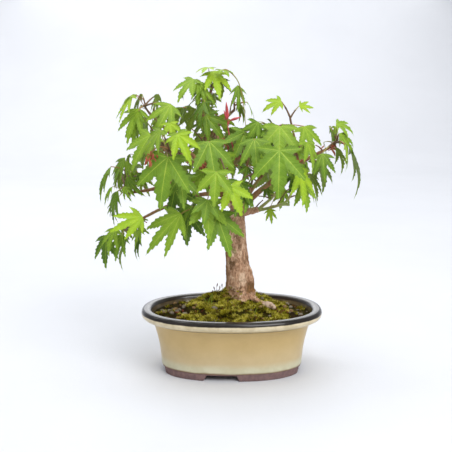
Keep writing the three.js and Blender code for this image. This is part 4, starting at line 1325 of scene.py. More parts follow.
def grow_limb(name, points, radii, sides):
    """Limb from a circle that is extruded, turned and scaled along its points, in millimetres."""
    path = [Vector(point) * MM for point in points]
    ways = [(b - a).normalized() for a, b in zip(path, path[1:])]
    ways = [ways[0]] + [(a + b).normalized() for a, b in zip(ways, ways[1:])] + [ways[-1]]
    upright = Vector((0, 0, 1)).rotation_difference(ways[0])
    bpy.ops.mesh.primitive_circle_add(vertices=sides, radius=radii[0] * MM, fill_type="NGON",
                                      location=path[0], rotation=upright.to_euler())
    limb = bpy.context.object
    limb.name = name
    put_in_mesh()
    set_mode("EDIT")
    for i in range(1, len(path)):
        extrude(path[i] - path[i - 1])
        turn_ring(ways[i - 1].rotation_difference(ways[i]), path[i])
        scale = radii[i] / radii[i - 1]
        bpy.ops.transform.resize(value=(scale, scale, scale), center_override=path[i])
    bpy.ops.mesh.select_all(action="SELECT")
    bpy.ops.mesh.normals_make_consistent(inside=False)
    set_mode("OBJECT")
    return limb


# %% Limbs of the list, joined and fused
TIP_REACH = (0.45, 0.7)
TIP_SHARES = (0.8, 0.4)
SMOOTH_SHARE = 0.5
SMOOTH_ROUNDS = 3


def limb_along(name, step, sides):
    """Limb of the list with that name, its tip rounded."""
    radii, points = LIMBS[name]
    path = smooth_path(points, step)
    count = len(path) - 1
    rings = [radius_at(radii, i / count) for i in range(count + 1)]
    way = (path[-1] - path[-2]) / norm(path[-1] - path[-2])
    path = np.vstack([path, [path[-1] + way * rings[-1] * reach for reach in TIP_REACH]])
    return grow_limb("limb_" + name, path, rings + [rings[-1] * share for share in TIP_SHARES], sides)


def join(things, name):
    bpy.ops.object.select_all(action="DESELECT")
    for thing in things:
        thing.select_set(True)
    bpy.context.view_layer.objects.active = things[0]
    bpy.ops.object.join()
    whole = bpy.context.object
    whole.name = name
    put_in_mesh()
    return whole


def add_modifier(thing, kind):
    select_only(thing)
    bpy.ops.object.modifier_add(type=kind)
    return thing.modifiers[-1]


def apply(modifier):
    bpy.ops.object.modifier_apply(modifier=modifier.name)


def fuse(thing, voxel):
    """Grows the overlapping bodies of a mesh together and smooths the joints a little."""
    remesh = add_modifier(thing, "REMESH")
    remesh.mode = "VOXEL"
    remesh.voxel_size = voxel * MM
    apply(remesh)
    smooth = add_modifier(thing, "SMOOTH")
    smooth.factor = SMOOTH_SHARE
    smooth.iterations = SMOOTH_ROUNDS
    apply(smooth)


# %% Trunk with its roots
TRUNK_STEP = 4
TRUNK_SIDES = 32
TRUNK_VOXEL = 0.45
FLARE_HEIGHT = 16
FLARE_GROWTH = 0.1
ROOT_SIDES = 14
# Direction in degrees, reach from the trunk's middle, and radius of each root foot.
ROOT_FEET = [(-14, 15.5, 5.2), (60, 18, 5), (132, 18.5, 5.4), (204, 19.5, 6), (277, 18.5, 5.6)]
# Way out and height of a root foot's first two points and, counted from its reach, of its last two.
ROOT_TOP = [(5, 17), (10, 8)]
ROOT_END = [(-5, 2.5), (0, -2)]
ROOT_TAPER = (0.7, 1, 0.8, 0.4)
SURFACE_ROOT = [(14, 11, 67), (19.5, 8, 65), (24.5, 3.5, 63.6), (28.5, -1, 62.5), (31.5, -5, 61.7),
                (34.5, -8, 61.2), (38, -10, 60.7), (41, -11, 60), (43, -11.6, 59)]
SURFACE_ROOT_RADII = [5.4, 4.2, 2.9, 2.0, 1.8, 2.6, 2.9, 2.3, 1.2]
BURL = [(18.6, 13, 66), (18.6, 12.5, 73), (18.2, 12, 80), (17.2, 12, 87), (14.6, 12, 94)]
BURL_RADII = [5.6, 6.0, 6.3, 5.6, 4]
KNOT_SIDES = 16

radii, points = LIMBS["trunk"]
path = smooth_path(points, TRUNK_STEP)
rings = []
for i, point in enumerate(path):
    low = max(0, 1 - (point[2] - TRUNK_BASE) / FLARE_HEIGHT)
    rings.append(radius_at(radii, i / (len(path) - 1)) * (1 + FLARE_GROWTH * low * low))
parts = [grow_limb("trunk_body", path, rings, TRUNK_SIDES)]
foot = Vector(points[0])
for degrees, reach, thick in ROOT_FEET:
    way = Vector((math.cos(math.radians(degrees)), math.sin(math.radians(degrees)), 0))
    steps = ROOT_TOP + [(reach + out, rise) for out, rise in ROOT_END]
    line = [foot + way * out + Vector((0, 0, rise)) for out, rise in steps]
    parts.append(grow_limb("root_foot", line, [thick * share for share in ROOT_TAPER], ROOT_SIDES))
parts.append(grow_limb("surface_root", SURFACE_ROOT, SURFACE_ROOT_RADII, KNOT_SIDES))
parts.append(grow_limb("burl", BURL, BURL_RADII, KNOT_SIDES))
parts.append(limb_along("trunk_upper", step=5, sides=24))
parts.append(limb_along("right_stub", step=4, sides=20))
trunk_piece = join(parts, "trunk_bark")
fuse(trunk_piece, TRUNK_VOXEL)
print("trunk faces:", len(trunk_piece.data.polygons))

# %% Boughs and shoots
TRUNK_NAMES = ["trunk", "trunk_upper", "right_stub"]
SHOOT_NAMES = ["right_shoot", "right_low_shoot"]
BOUGH_NAMES = [name for name in LIMBS if name not in TRUNK_NAMES + SHOOT_NAMES]
BOUGH_STEP = 5
BOUGH_SIDES = 14
BOUGH_VOXEL = 0.5
SHOOT_VOXEL = 0.4
# The short cut end of a second shoot beside the low right one.
CUT_STUB = [(46, -1, 150), (51, -2, 150.4), (54.5, -2.2, 150.2), (54.9, -2.2, 150.2)]
CUT_STUB_RADII = [1.3, 1.3, 1.4, 1.0]

bough_piece = join([limb_along(name, BOUGH_STEP, BOUGH_SIDES) for name in BOUGH_NAMES], "boughs_bark")
fuse(bough_piece, BOUGH_VOXEL)
stub = grow_limb("cut_stub", CUT_STUB, CUT_STUB_RADII, BOUGH_SIDES)
shoots = [limb_along(name, BOUGH_STEP, BOUGH_SIDES) for name in SHOOT_NAMES]
shoot_piece = join(shoots + [stub], "green_shoots")
fuse(shoot_piece, SHOOT_VOXEL)
print("bough and shoot faces:", len(bough_piece.data.polygons), len(shoot_piece.data.polygons))

# %% Bark relief
CLOUD_START = (0.013, 0.007, 0.003)
# Width, length along the trunk and depth of each layer of clouds.
TRUNK_CLOUDS = [(6.5, 13, 1.7), (2.6, 4.4, 0.9), (1.1, 1.7, 0.8)]
BOUGH_CLOUDS = [(3, 9, 0.5), (0.9, 3, 0.4)]
SHOOT_CLOUDS = [(2, 6, 0.15)]


def read_vertices(mesh, what):
    values = np.empty(len(mesh.vertices) * 3)
    mesh.vertices.foreach_get(what, values)
    return values


def raise_bark(thing, layers):
    """Displaces a surface by drawn-out clouds. The attribute `relief` keeps how far each point went."""
    mesh = thing.data
    before, outward = read_vertices(mesh, "co"), read_vertices(mesh, "normal")
    for width, length, depth in layers:
        texture = bpy.data.textures.new("bark_clouds", "CLOUDS")
        texture.noise_scale = 1
        bpy.ops.object.empty_add(location=CLOUD_START)
        guide = bpy.context.object
        guide.scale = (width * MM, width * MM, length * MM)
        bpy.context.view_layer.update()
        clouds = add_modifier(thing, "DISPLACE")
        clouds.texture = texture
        clouds.texture_coords = "OBJECT"
        clouds.texture_coords_object = guide
        clouds.strength = depth * MM
        clouds.mid_level = 0.5
        apply(clouds)
        bpy.data.objects.remove(guide)
    moved = ((read_vertices(mesh, "co") - before) * outward).reshape(-1, 3).sum(1) / MM
    mesh.attributes.new("relief", "FLOAT", "POINT").data.foreach_set("value", moved)
    bpy.ops.object.shade_smooth()
    print(thing.name, "relief in mm:", round(moved.min(), 2), "to", round(moved.max(), 2))


raise_bark(trunk_piece, TRUNK_CLOUDS)
raise_bark(bough_piece, BOUGH_CLOUDS)
raise_bark(shoot_piece, SHOOT_CLOUDS)

# %% [markdown]
# ## Bark finishes
# The old bark is a pinkish brown that weathers to pale patches, with brown and faint green ones between
# them. Painted brown shade darkens its left edge and right side above the burl, and the creeping root is
# paler. Its hollows are painted darker as shade, by the mesh's own measure of its relief. Boughs and young
# shoots are greener.

# %% Material of the trunk
HOLLOW_DEPTH = -0.7

finish = Finish("pink_brown_bark", 0.85)
relief = finish.tree.nodes.new("ShaderNodeAttribute")
relief.attribute_name = "relief"
long_grain = finish.stretched(1, 1, 0.55)
base = finish.mottle(paint(210, 168, 136), paint(150, 110, 80), 620, spread=0.16, vector=long_grain)
base = finish.mottle(base, paint(228, 196, 166), 190, middle=0.57, spread=0.06, vector=long_grain)
base = finish.mottle(base, paint(144, 100, 66), 120, middle=0.6, spread=0.07, vector=long_grain)
base = finish.mottle(base, paint(150, 140, 84), 80, middle=0.66, spread=0.05)
# Painted shade: a brown mottle darkens the trunk's left edge and its right side above the burl.
brown_side_shade = finish.mottle(paint(160, 116, 66), paint(112, 76, 38), 500, spread=0.2)
base = finish.blend(brown_side_shade, base, finish.border(0.8, 4, 4, 160, "X"))
right_side = finish.blend(base, brown_side_shade, finish.border(17.5, 20.5, 3, 200, "X"))
over_burl = finish.blend(base, right_side, finish.border(68.5, 70.5, 2, 200))
base = finish.blend(over_burl, base, finish.border(77, 81, 3, 200))
pale_root = finish.mottle(paint(216, 192, 170), paint(186, 160, 136), 400, spread=0.2)
base = finish.blend(base, pale_root, finish.border(32.5, 34.5, 4, 200, "X"))
# Painted shade: the bark is darker in its hollows, by how deep the relief sank there.
raised = smooth_step(finish.tree, relief.outputs["Fac"], HOLLOW_DEPTH, 0.0)
finish.colour(finish.blend(paint(112, 82, 52), base, raised))
finish.bump(900, 0.6, vector=finish.stretched(1, 1, 0.5))
trunk_piece.data.materials.append(finish.material)
print("material of the trunk:", finish.material.name)

# %% Materials of boughs and shoots
finish = Finish("bough_bark", 0.75)
long_grain = finish.stretched(1, 0.6, 0.6)
base = finish.mottle(paint(164, 118, 80), paint(122, 88, 56), 220, spread=0.2, vector=long_grain)
finish.colour(finish.mottle(base, paint(134, 134, 72), 60, middle=0.55, spread=0.1))
finish.bump(800, 0.6, vector=long_grain)
bough_piece.data.materials.append(finish.material)
green_bark = Finish("young_green_bark", 0.5)
green_bark.plain(paint(152, 170, 92), paint(164, 158, 96), 140, 0.2, 900, 0.3)
shoot_piece.data.materials.append(green_bark.material)
for piece, members, slot_name in ((trunk_piece, TRUNK_NAMES, "bark"), (bough_piece, BOUGH_NAMES, "bark"),
                                  (shoot_piece, SHOOT_NAMES, "green_shoot")):
    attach(piece, "root")
    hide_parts(*members)
    print(piece.name, "stands for", len(members), "solids")

# %% [markdown]
# ## Pot
# The pot is one pressed body: an oval wall that flares towards the top, a broad lip with a rounded edge,
# and the inside. Its long sides are slightly flattened, so its outline is squarer than an ellipse. That
# oval is extruded upwards ring by ring, scaled to each ring's size, over the lip and down again inside. The
# foot ring is extruded in the same way and its openings are cut with booleans.

# %% Pot body
POT_CENTRE = (4, 0)
RIM_HALF_LENGTH = 81
RIM_HALF_DEPTH = 57
OVAL_SQUARENESS = 2.25
POT_SIDES = 96
# Inset from the rim's oval, and height.
OUTER_WALL = [(17.9, 6), (17.7, 7), (17.6, 9), (16.6, 22), (13.5, 36), (10.8, 44.5), (9.7, 45.9), (9.1, 46.3),
              (8.4, 46.6), (7, 47.2), (3.6, 48.6), (2, 49.4), (1, 50.3), (0.3, 51.6), (0, 52.9), (0.05, 54.1),
              (0.3, 55.2), (0.9, 56.3), (2, 57.1)]
INNER_WALL = [(4, 57.5), (6.6, 57.4), (7.9, 57), (8.8, 56), (9.4, 54), (10.6, 49.6), (16.5, 42), (22, 14),
              (24.4, 11), (35, 11)]
UNDERSIDE = (28, 6)
RING_WELD = 0.02
CUT_WELD = 0.05


def squarer(value):
    """Cosine or sine of the oval, drawn out towards the corners."""
    return math.copysign(abs(value) ** (2 / OVAL_SQUARENESS), value)


def extrude_ovals(name, rows, cap):
    """Body from an oval, extruded from row to row. A row is an inset from the rim's oval, and a height."""
    inset, height = rows[0]
    bpy.ops.mesh.primitive_circle_add(vertices=POT_SIDES, radius=1, fill_type=cap)
    body = bpy.context.object
    body.name = name
    for vertex in body.data.vertices:
        vertex.co = (squarer(vertex.co.x), squarer(vertex.co.y), 0)
    body.location = Vector((POT_CENTRE[0], POT_CENTRE[1], height)) * MM
    body.scale = ((RIM_HALF_LENGTH - inset) * MM, (RIM_HALF_DEPTH - inset) * MM, 1)
    put_in_mesh()
    set_mode("EDIT")
    for next_inset, next_height in rows[1:]:
        extrude((0, 0, (next_height - height) * MM))
        scale = ((RIM_HALF_LENGTH - next_inset) / (RIM_HALF_LENGTH - inset),
                 (RIM_HALF_DEPTH - next_inset) / (RIM_HALF_DEPTH - inset), 1)
        middle = (POT_CENTRE[0] * MM, POT_CENTRE[1] * MM, next_height * MM)
        bpy.ops.transform.resize(value=scale, center_override=middle)
        inset, height = next_inset, next_height
    bpy.ops.mesh.select_all(action="SELECT")
    bpy.ops.mesh.remove_doubles(threshold=RING_WELD * MM)
    bpy.ops.mesh.normals_make_consistent(inside=False)
    set_mode("OBJECT")
    return body


def cut(thing, cutter):
    """Boolean difference. The cutter is used up, and points that it leaves almost in one place are merged."""
    difference = add_modifier(thing, "BOOLEAN")
    difference.operation = "DIFFERENCE"
    difference.object = cutter
    apply(difference)
    bpy.data.objects.remove(cutter)
    set_mode("EDIT")
    bpy.ops.mesh.select_all(action="SELECT")
    bpy.ops.mesh.remove_doubles(threshold=CUT_WELD * MM)
    set_mode("OBJECT")


pot_piece = extrude_ovals("pot_glazed", [UNDERSIDE] + OUTER_WALL + INNER_WALL, "NGON")
rounding = add_modifier(pot_piece, "SUBSURF")
rounding.levels = 1
rounding.render_levels = 1
apply(rounding)
print("pot faces:", len(pot_piece.data.polygons))

# %% Drain holes
DRAIN_SPACING = 30
DRAIN_RADIUS = 6.5
DRAIN_SIDES = 32
DRILL_LENGTH = 20
DRILL_MIDDLE = 8

for side in (-1, 1):
    place = ((POT_CENTRE[0] + side * DRAIN_SPACING) * MM, 0, DRILL_MIDDLE * MM)
    bpy.ops.mesh.primitive_cylinder_add(vertices=DRAIN_SIDES, radius=DRAIN_RADIUS * MM,
                                        depth=DRILL_LENGTH * MM, location=place)
    cut(pot_piece, bpy.context.object)
print("pot faces with drain holes:", len(pot_piece.data.polygons))

# %% Foot ring
FOOT_ROWS = [(19.2, 0), (18.6, 1), (18.6, 4), (18.3, 7), (26.4, 7), (26.4, 1), (25.8, 0), (19.2, 0)]
NOTCH_TOP = 5.4
NOTCH_DROP = 2
NOTCH_HALF_WIDTHS = (13, 17)
NOTCH_LENGTH = 200
NOTCH_BAND = 0.1
FRONT_NOTCH_SHIFT = -9
FOOT_BEVEL = 0.5
foot_piece = extrude_ovals("pot_feet", FOOT_ROWS, "NOTHING")


def notch_cutter(shift, along_x):
    """Block for an opening in the foot ring, wider at the floor than at its top."""
    x, y = (shift, 0) if along_x else (0, shift)
    place = Vector((POT_CENTRE[0] + x, y, NOTCH_TOP / 2 - NOTCH_DROP / 2)) * MM
    bpy.ops.mesh.primitive_cube_add(size=1, location=place)
    block = bpy.context.object
    width, depth = 2 * NOTCH_HALF_WIDTHS[1] * MM, NOTCH_LENGTH * MM
    block.scale = (width if along_x else depth, depth if along_x else width, (NOTCH_TOP + NOTCH_DROP) * MM)
    put_in_mesh()
    pick(block, "FACE", lambda middle: middle.z > (NOTCH_TOP - NOTCH_BAND) * MM)
    scale = NOTCH_HALF_WIDTHS[0] / NOTCH_HALF_WIDTHS[1]
    bpy.ops.transform.resize(value=(scale, 1, 1) if along_x else (1, scale, 1), center_override=place)
    set_mode("OBJECT")
    return block


cut(foot_piece, notch_cutter(FRONT_NOTCH_SHIFT, True))
cut(foot_piece, notch_cutter(0, False))
worn_edge = add_modifier(foot_piece, "BEVEL")
worn_edge.width = FOOT_BEVEL * MM
worn_edge.segments = 2
worn_edge.limit_method = "ANGLE"
apply(worn_edge)
print("foot faces:", len(foot_piece.data.polygons))

# %% [markdown]
# ## Glaze
# The glaze is tan and half matt, painted paler low down as light reflected from below and darker under
# the lip as its shade. It has run down and pooled pale above the foot, where its lower edge leaves the clay
# dark. A painted shadow darkens the step under the lip. The side of the lip is cream, lightened as a painted
# highlight, and glossier, and over the lip's edge the glaze turns nearly black. Inside, a paler run hangs
# under the lip. Each is a wavering border at a height, so the glaze's own colours lie as fired glaze does,
# and no image is needed. The feet are bare clay.

# %% Glaze of the outside
LIP_GLOSS = 0.5

finish = Finish("glaze", 0.3)
# Painted light: the glaze is paler low down, as light reflected from below, and darker high up in the lip's
# shade.
high = finish.mottle(paint(202, 175, 122), paint(193, 166, 113), 60, spread=0.3)
low = finish.mottle(paint(202, 182, 142), paint(194, 174, 134), 60, spread=0.3)
body = finish.blend(low, high, finish.border(14, 40, 4, 40))
pool = finish.mottle(paint(206, 202, 174), paint(197, 191, 160), 90)
body = finish.blend(pool, body, finish.border(11.5, 19.5, 4, 40))
body = finish.blend(paint(132, 106, 80), body, finish.border(7.5, 9.5, 2, 80))
# Painted shadow: a dark band in the step under the lip.
body = finish.blend(body, paint(110, 92, 62), finish.border(46.2, 47.8, 0.8, 90))
# The lip's side is cream glaze, lightened as a painted highlight. The same mask gives it its gloss.
cream = finish.border(48.2, 50.2, 1.2, 90)
body = finish.blend(body, finish.mottle(paint(216, 202, 170), paint(198, 182, 146), 120), cream)
rim = finish.mottle(paint(18, 14, 13), paint(34, 26, 20), 300, spread=0.25)
finish.colour(finish.blend(body, rim, finish.border(54, 54.8, 0.8, 120)))
finish.bump(60, 0.3, share=0.1)
gloss = calculate(finish.tree, "MULTIPLY", cream, LIP_GLOSS)
finish.shade({"Specular IOR Level": 0.2, "Coat Weight": gloss, "Coat Roughness": 0.06})
pot_piece.data.materials.append(finish.material)
print("material of the outside:", finish.material.name)

# %% Inner glaze and bare clay
INNER_GLAZE_FROM = 10

finish = Finish("inner_glaze", 0.3)
dark = finish.mottle(paint(44, 34, 26), paint(30, 24, 18), 200, spread=0.25)
pale = finish.mottle(paint(112, 96, 68), paint(76, 62, 42), 160, spread=0.25)
run = finish.blend(dark, pale, finish.border(51.2, 52.4, 1.2, 90))
finish.colour(finish.blend(run, dark, finish.border(54.4, 55.2, 1.2, 90)))
finish.bump(160, 0.5, share=0.2)
finish.shade({"Coat Weight": 0.5, "Coat Roughness": 0.1})
pot_piece.data.materials.append(finish.material)
for face in pot_piece.data.polygons:
    to_middle = (POT_CENTRE[0] * MM - face.center.x, POT_CENTRE[1] * MM - face.center.y)
    inward = face.normal.x * to_middle[0] + face.normal.y * to_middle[1]
    face.material_index = int(inward > 0 and face.center.z > INNER_GLAZE_FROM * MM)
bare_clay = Finish("bare_clay", 0.8)
bare_clay.plain(paint(132, 104, 100), paint(104, 82, 82), 240, 0.25, 900, 0.4)
foot_piece.data.materials.append(bare_clay.material)
for piece in (pot_piece, foot_piece):
    select_only(piece)
    bpy.ops.object.shade_smooth_by_angle(angle=SMOOTH_ANGLE)
    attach(piece, "root")
    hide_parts("pot")
print("pot materials:", [material.name for material in pot_piece.data.materials])

# %% [markdown]
# ## Soil
# Potting soil fills the pot, rises to a mound at the trunk and carries cushions of moss. It is an oval
# extruded up the inside of the wall and then inwards in rings. The mound and the cushions are pulled up one
# after another with proportional editing, and a cloud texture displaces the top into clods.

# %% Soil body
SOIL_EDGE_HEIGHT = 50.8
SOIL_ROWS = [(24.9, 11.2), (22.5, 14.5), (17, 42), (10.9, 49.8), (10.9, SOIL_EDGE_HEIGHT)]
SOIL_RING_STEP = 1.6
TOP_BAND = 0.1
# Place, radius of the level top, reach of the slope, and height.
SOIL_MOUND = (6, 14, 11, 42, 13)
CUSHIONS = [
    (-52, -8, 2, 13, 3), (-38, -24, 2, 13, 3.5), (-36, 4, 2, 14, 4), (-21, -12, 2, 14, 4.5),
    (-18, -31, 2, 12, 3.5), (-12, 14, 2, 13, 3), (0, -20, 2, 13, 4), (8, -38, 2, 11, 3),
    (20, -26, 2, 13, 4), (34, -10, 2, 15, 5), (40, -27, 2, 11, 3), (56, -8, 2, 13, 3),
    (47, 10, 2, 13, 3.5), (32, 30, 2, 12, 3), (-18, 34, 2, 12, 3), (-42, 24, 2, 12, 3),
]
soil_inset = SOIL_ROWS[-1][0]
rings_inward = int((RIM_HALF_DEPTH - soil_inset) / SOIL_RING_STEP) - 1
rows = SOIL_ROWS + [(soil_inset + SOIL_RING_STEP * (k + 1), SOIL_EDGE_HEIGHT) for k in range(rings_inward)]
soil_piece = extrude_ovals("soil_body", rows, "NGON")
mesh = soil_piece.data


def pull_up(x, y, top, reach, height):
    """Raises a hill with a level top and a smooth slope round it."""
    def at_top(place):
        return place.z > (SOIL_EDGE_HEIGHT - TOP_BAND) * MM

    def gap(place):
        return math.hypot(place.x / MM - x, place.y / MM - y)

    nearest = min(gap(corner.co) for corner in mesh.vertices if at_top(corner.co))
    limit = max(top, nearest + TOP_BAND)
    pick(soil_piece, "VERT", lambda place: at_top(place) and gap(place) < limit)
    bpy.ops.transform.translate(value=(0, 0, height * MM), use_proportional_edit=True,
                                proportional_edit_falloff="SMOOTH", proportional_size=reach * MM)
    set_mode("OBJECT")


select_only(soil_piece)
for hill in CUSHIONS + [SOIL_MOUND]:
    pull_up(*hill)
print("soil faces:", len(mesh.polygons), "top in mm:", round(max(v.co.z for v in mesh.vertices) / MM, 1))

# %% Clods of the soil
CLOD_WIDTH = 6
CLOD_DEPTH = 1.6
CLODS_ABOVE = 0.2
clods = soil_piece.vertex_groups.new(name="clods")
clods.add([v.index for v in mesh.vertices if v.co.z > (SOIL_EDGE_HEIGHT + CLODS_ABOVE) * MM], 1, "REPLACE")
texture = bpy.data.textures.new("clods", "CLOUDS")
texture.noise_scale = CLOD_WIDTH * MM
lumps = add_modifier(soil_piece, "DISPLACE")
lumps.texture = texture
lumps.texture_coords = "LOCAL"
lumps.direction = "Z"
lumps.strength = CLOD_DEPTH * MM
lumps.mid_level = 0.5
lumps.vertex_group = "clods"
apply(lumps)
bpy.ops.object.shade_smooth_by_angle(angle=SMOOTH_ANGLE)
print("top with clods in mm:", round(max(v.co.z for v in mesh.vertices) / MM, 1))

# %% Soil material
finish = Finish("dark_soil", 0.95)
base = finish.mottle(paint(52, 37, 14), paint(26, 18, 4), 260, spread=0.2)
finish.colour(finish.mottle(base, paint(54, 52, 6), 110, middle=0.52, spread=0.1))
finish.bump(600, 1.5)
finish.shade({"Specular IOR Level": 0.08})
soil_piece.data.materials.append(finish.material)
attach(soil_piece, "root")
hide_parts("soil")
print("soil material:", soil_piece.data.materials[0].name)

# %% [markdown]
# ## Moss
# Cushions of moss cover most of the soil and climb the foot of the trunk. They consist of clumps with a
# rounded top, and a clump of tufts, each a small bunch of spikes. Hair would be the usual tool, but hair is
# no mesh, so it couldn't leave the scene with the plant. A ray cast down sets each tuft on the soil, and
# each has one colour: bright yellow green on top of a clump, partly young tips and partly painted light,
# olive and deep green between the clumps, partly older moss and partly painted shade, and brown in places.

# %% Moss and litter: finishes
def make_small_finish(name, first, second):
    finish = Finish(name, 0.8)
    finish.shade({"Specular IOR Level": 0.06})
    return finish.plain(first, second, 300, 0.25, 1500, 0.2)


MOSS_FINISHES = [
    make_small_finish("bright_moss", paint(246, 234, 124), paint(214, 205, 78)),
    make_small_finish("yellow_green_moss", paint(188, 178, 54), paint(156, 149, 34)),
    make_small_finish("olive_moss", paint(116, 107, 22), paint(88, 82, 13)),
    make_small_finish("deep_moss", paint(60, 56, 6), paint(42, 38, 3)),
    make_small_finish("brown_moss", paint(140, 94, 36), paint(90, 56, 16)),
]
LITTER_FINISHES = [
    make_small_finish("grey_stone", paint(138, 128, 112), paint(104, 96, 84)),
    make_small_finish("tan_stone", paint(150, 122, 84), paint(116, 92, 60)),
    make_small_finish("red_litter", paint(128, 62, 44), paint(96, 50, 38)),
    make_small_finish("brown_litter", paint(110, 80, 50), paint(76, 54, 36)),
    make_small_finish("grass", paint(134, 150, 58), paint(112, 134, 48)),
]
GREY_STONE, TAN_STONE, RED_LITTER, BROWN_LITTER, GRASS = range(5)
print("moss and litter materials:", len(MOSS_FINISHES) + len(LITTER_FINISHES))

# %% Moss: places and tufts
MOSS_OVAL = (69.2, 45.2)
RAY_TOP = 100
SPIKES = (8, 6)
SPIKE_HEIGHT = (1.1, 1.5)
SPIKE_RADIUS = 0.3
SPIKE_SCATTER = (0.55, 0.55, 0.2)
SPIKE_SINK = 0.5
SPIKE_SPREAD = 0.9
SPIKE_CORNERS = (0, 2.094, 4.189)
SPIKE_FACES = [[0, 1, 3], [1, 2, 3], [2, 0, 3], [2, 1, 0]]

bpy.context.view_layer.update()


def drop_on(thing, x, y):
    """Point and normal where a ray from above meets a thing, in millimetres."""
    hit, place, normal, face = thing.ray_cast((x * MM, y * MM, RAY_TOP * MM), (0, 0, -1))
    return (np.array(place) / MM, np.array(normal)) if hit else (None, None)


def in_oval(angle, reach):
    """Place on the soil at an angle and at a share of the way from the middle to the wall."""
    return (POT_CENTRE[0] + MOSS_OVAL[0] * reach * squarer(math.cos(angle)),
            POT_CENTRE[1] + MOSS_OVAL[1] * reach * squarer(math.sin(angle)))


def reach_in_oval(x, y):
    return math.hypot((x - POT_CENTRE[0]) / MOSS_OVAL[0], y / MOSS_OVAL[1])


def even_place(chance):
    """Angle and reach of a random place, even over a disc."""
    return chance.random() * 2 * math.pi, math.sqrt(chance.random())


def add_tuft(bundle, place, normal, chance, slot, rise=0.0):
    """Bunch of spikes, each a closed cone with three sides."""
    for k in range(int(above(SPIKES, chance.random()))):
        lean = np.array([chance.normal(0, scatter) for scatter in SPIKE_SCATTER])
        way = normal + lean
        way /= norm(way)
        across = np.cross(way, (0.4, 0.7, 0.6))
        across /= norm(across)
        other = np.cross(way, across)
        foot = place - normal * SPIKE_SINK + lean * SPIKE_SPREAD
        height = above(SPIKE_HEIGHT, chance.random()) + rise
        ring = [foot + SPIKE_RADIUS * (math.cos(a) * across + math.sin(a) * other) for a in SPIKE_CORNERS]
        bundle.add(ring + [foot + way * height], SPIKE_FACES, slot)


# %% Moss: colours and bare places
# Rate of the first wave, how much and how fast it bends, and the second wave's rate, skew and start.
TINT_WAVES = (0.21, 1.7, 0.16, 0.26, 0, 1)
BARE_WAVES = (0.41, 2, 0.3, 0.47, 0.11, 0)
PATCH_WEIGHT = 0.2
CHANCE_WEIGHT = 0.6
# A clump's top is brighter and its rim deeper: partly young and older moss, partly painted light and shade.
RIM_TINT_AND_SHADE_WEIGHT = 0.35
WALL_WEIGHT = 0.15
BROWN_FROM = 0.88
MOSS_BOUNDS = (0.36, 0.56, 0.76, 0.94)
BARE_PATCH = 0.6
BARE_FROM = 50
LEFT_BARE_FROM = -34
LEFT_BARE_BEHIND = -18
BARE_SHARE = 0.75


def patch_height(x, y, waves):
    """Number from -1 to 1 that changes smoothly in uneven patches."""
    rate, bend, bend_rate, second_rate, skew, start = waves
    return math.sin(x * rate + bend * math.sin(y * bend_rate)) * math.cos(y * second_rate + x * skew + start)


def moss_slot(x, y, chance, dome):
    """Colour of a tuft: bright on top of its clump and deeper at its rim, partly the moss's own age and
    partly painted light and shade, and browner at the wall.
    """
    at_wall = reach_in_oval(x, y) > BROWN_FROM
    patch = (1 + patch_height(x, y, TINT_WAVES)) / 2
    number = (patch * PATCH_WEIGHT + chance.random() * CHANCE_WEIGHT + (1 - dome) * RIM_TINT_AND_SHADE_WEIGHT
              + at_wall * WALL_WEIGHT)
    return sum(number > bound for bound in MOSS_BOUNDS)


def is_bare(x, y, chance):
    """True for places without moss: patches, the ends of the oval and the back of its left side."""
    at_end = abs(x - POT_CENTRE[0]) > BARE_FROM or (x < LEFT_BARE_FROM and y > LEFT_BARE_BEHIND)
    return patch_height(x, y, BARE_WAVES) > BARE_PATCH or (at_end and chance.random() < BARE_SHARE)


# %% Moss: clumps on the soil and tufts at the trunk's foot
CLUMP_COUNT = 560
CLUMP_RADIUS = (1.9, 2.2)
CLUMP_RISE = 1.7
TUFTS_PER_AREA = 0.85
LEAST_TUFTS = 3
FURTHEST_TUFT = 1.02
TRUNK_MOSS_TRIES = 1500
TRUNK_MOSS_PLACE = ((3, 9), (11, 10))
TRUNK_MOSS_RIGHT = 14
TRUNK_MOSS_TOP = (76, -6)
TRUNK_MOSS_DOME = 0.3

chance = np.random.RandomState(21)
moss = Bundle()
for i in range(CLUMP_COUNT):
    clump_x, clump_y = in_oval(*even_place(chance))
    radius = above(CLUMP_RADIUS, chance.random())
    if is_bare(clump_x, clump_y, chance):
        continue
    for k in range(max(LEAST_TUFTS, round(radius * radius * TUFTS_PER_AREA))):
        angle, reach = even_place(chance)
        x, y = clump_x + radius * reach * math.cos(angle), clump_y + radius * reach * math.sin(angle)
        if reach_in_oval(x, y) > FURTHEST_TUFT:
            continue
        place, normal = drop_on(soil_piece, x, y)
        dome = 1 - reach * reach
        if place is not None:
            add_tuft(moss, place, normal, chance, moss_slot(x, y, chance, dome), CLUMP_RISE * dome)
for i in range(TRUNK_MOSS_TRIES):
    x, y = [middle + chance.normal(0, scatter) for middle, scatter in TRUNK_MOSS_PLACE]
    place, normal = drop_on(trunk_piece, x, y)
    if place is None or place[2] > above(TRUNK_MOSS_TOP, chance.random()) or x > TRUNK_MOSS_RIGHT:
        continue
    add_tuft(moss, place, normal, chance, moss_slot(x, y, chance, TRUNK_MOSS_DOME))
moss_piece = moss.build("moss", MOSS_FINISHES)
print("moss faces:", len(moss_piece.data.polygons))

# %% [markdown]
# ## Stones and litter
# Small stones, scraps of fallen leaves, a few blades of grass and the spore stalks of the moss lie and
# stand on the soil. A stone is the primitive ball of triangles, whose points are squeezed and shaken for
# each copy. The largest stones, most red scraps, the grass and the stalks have set places, and the rest is
# dealt out.

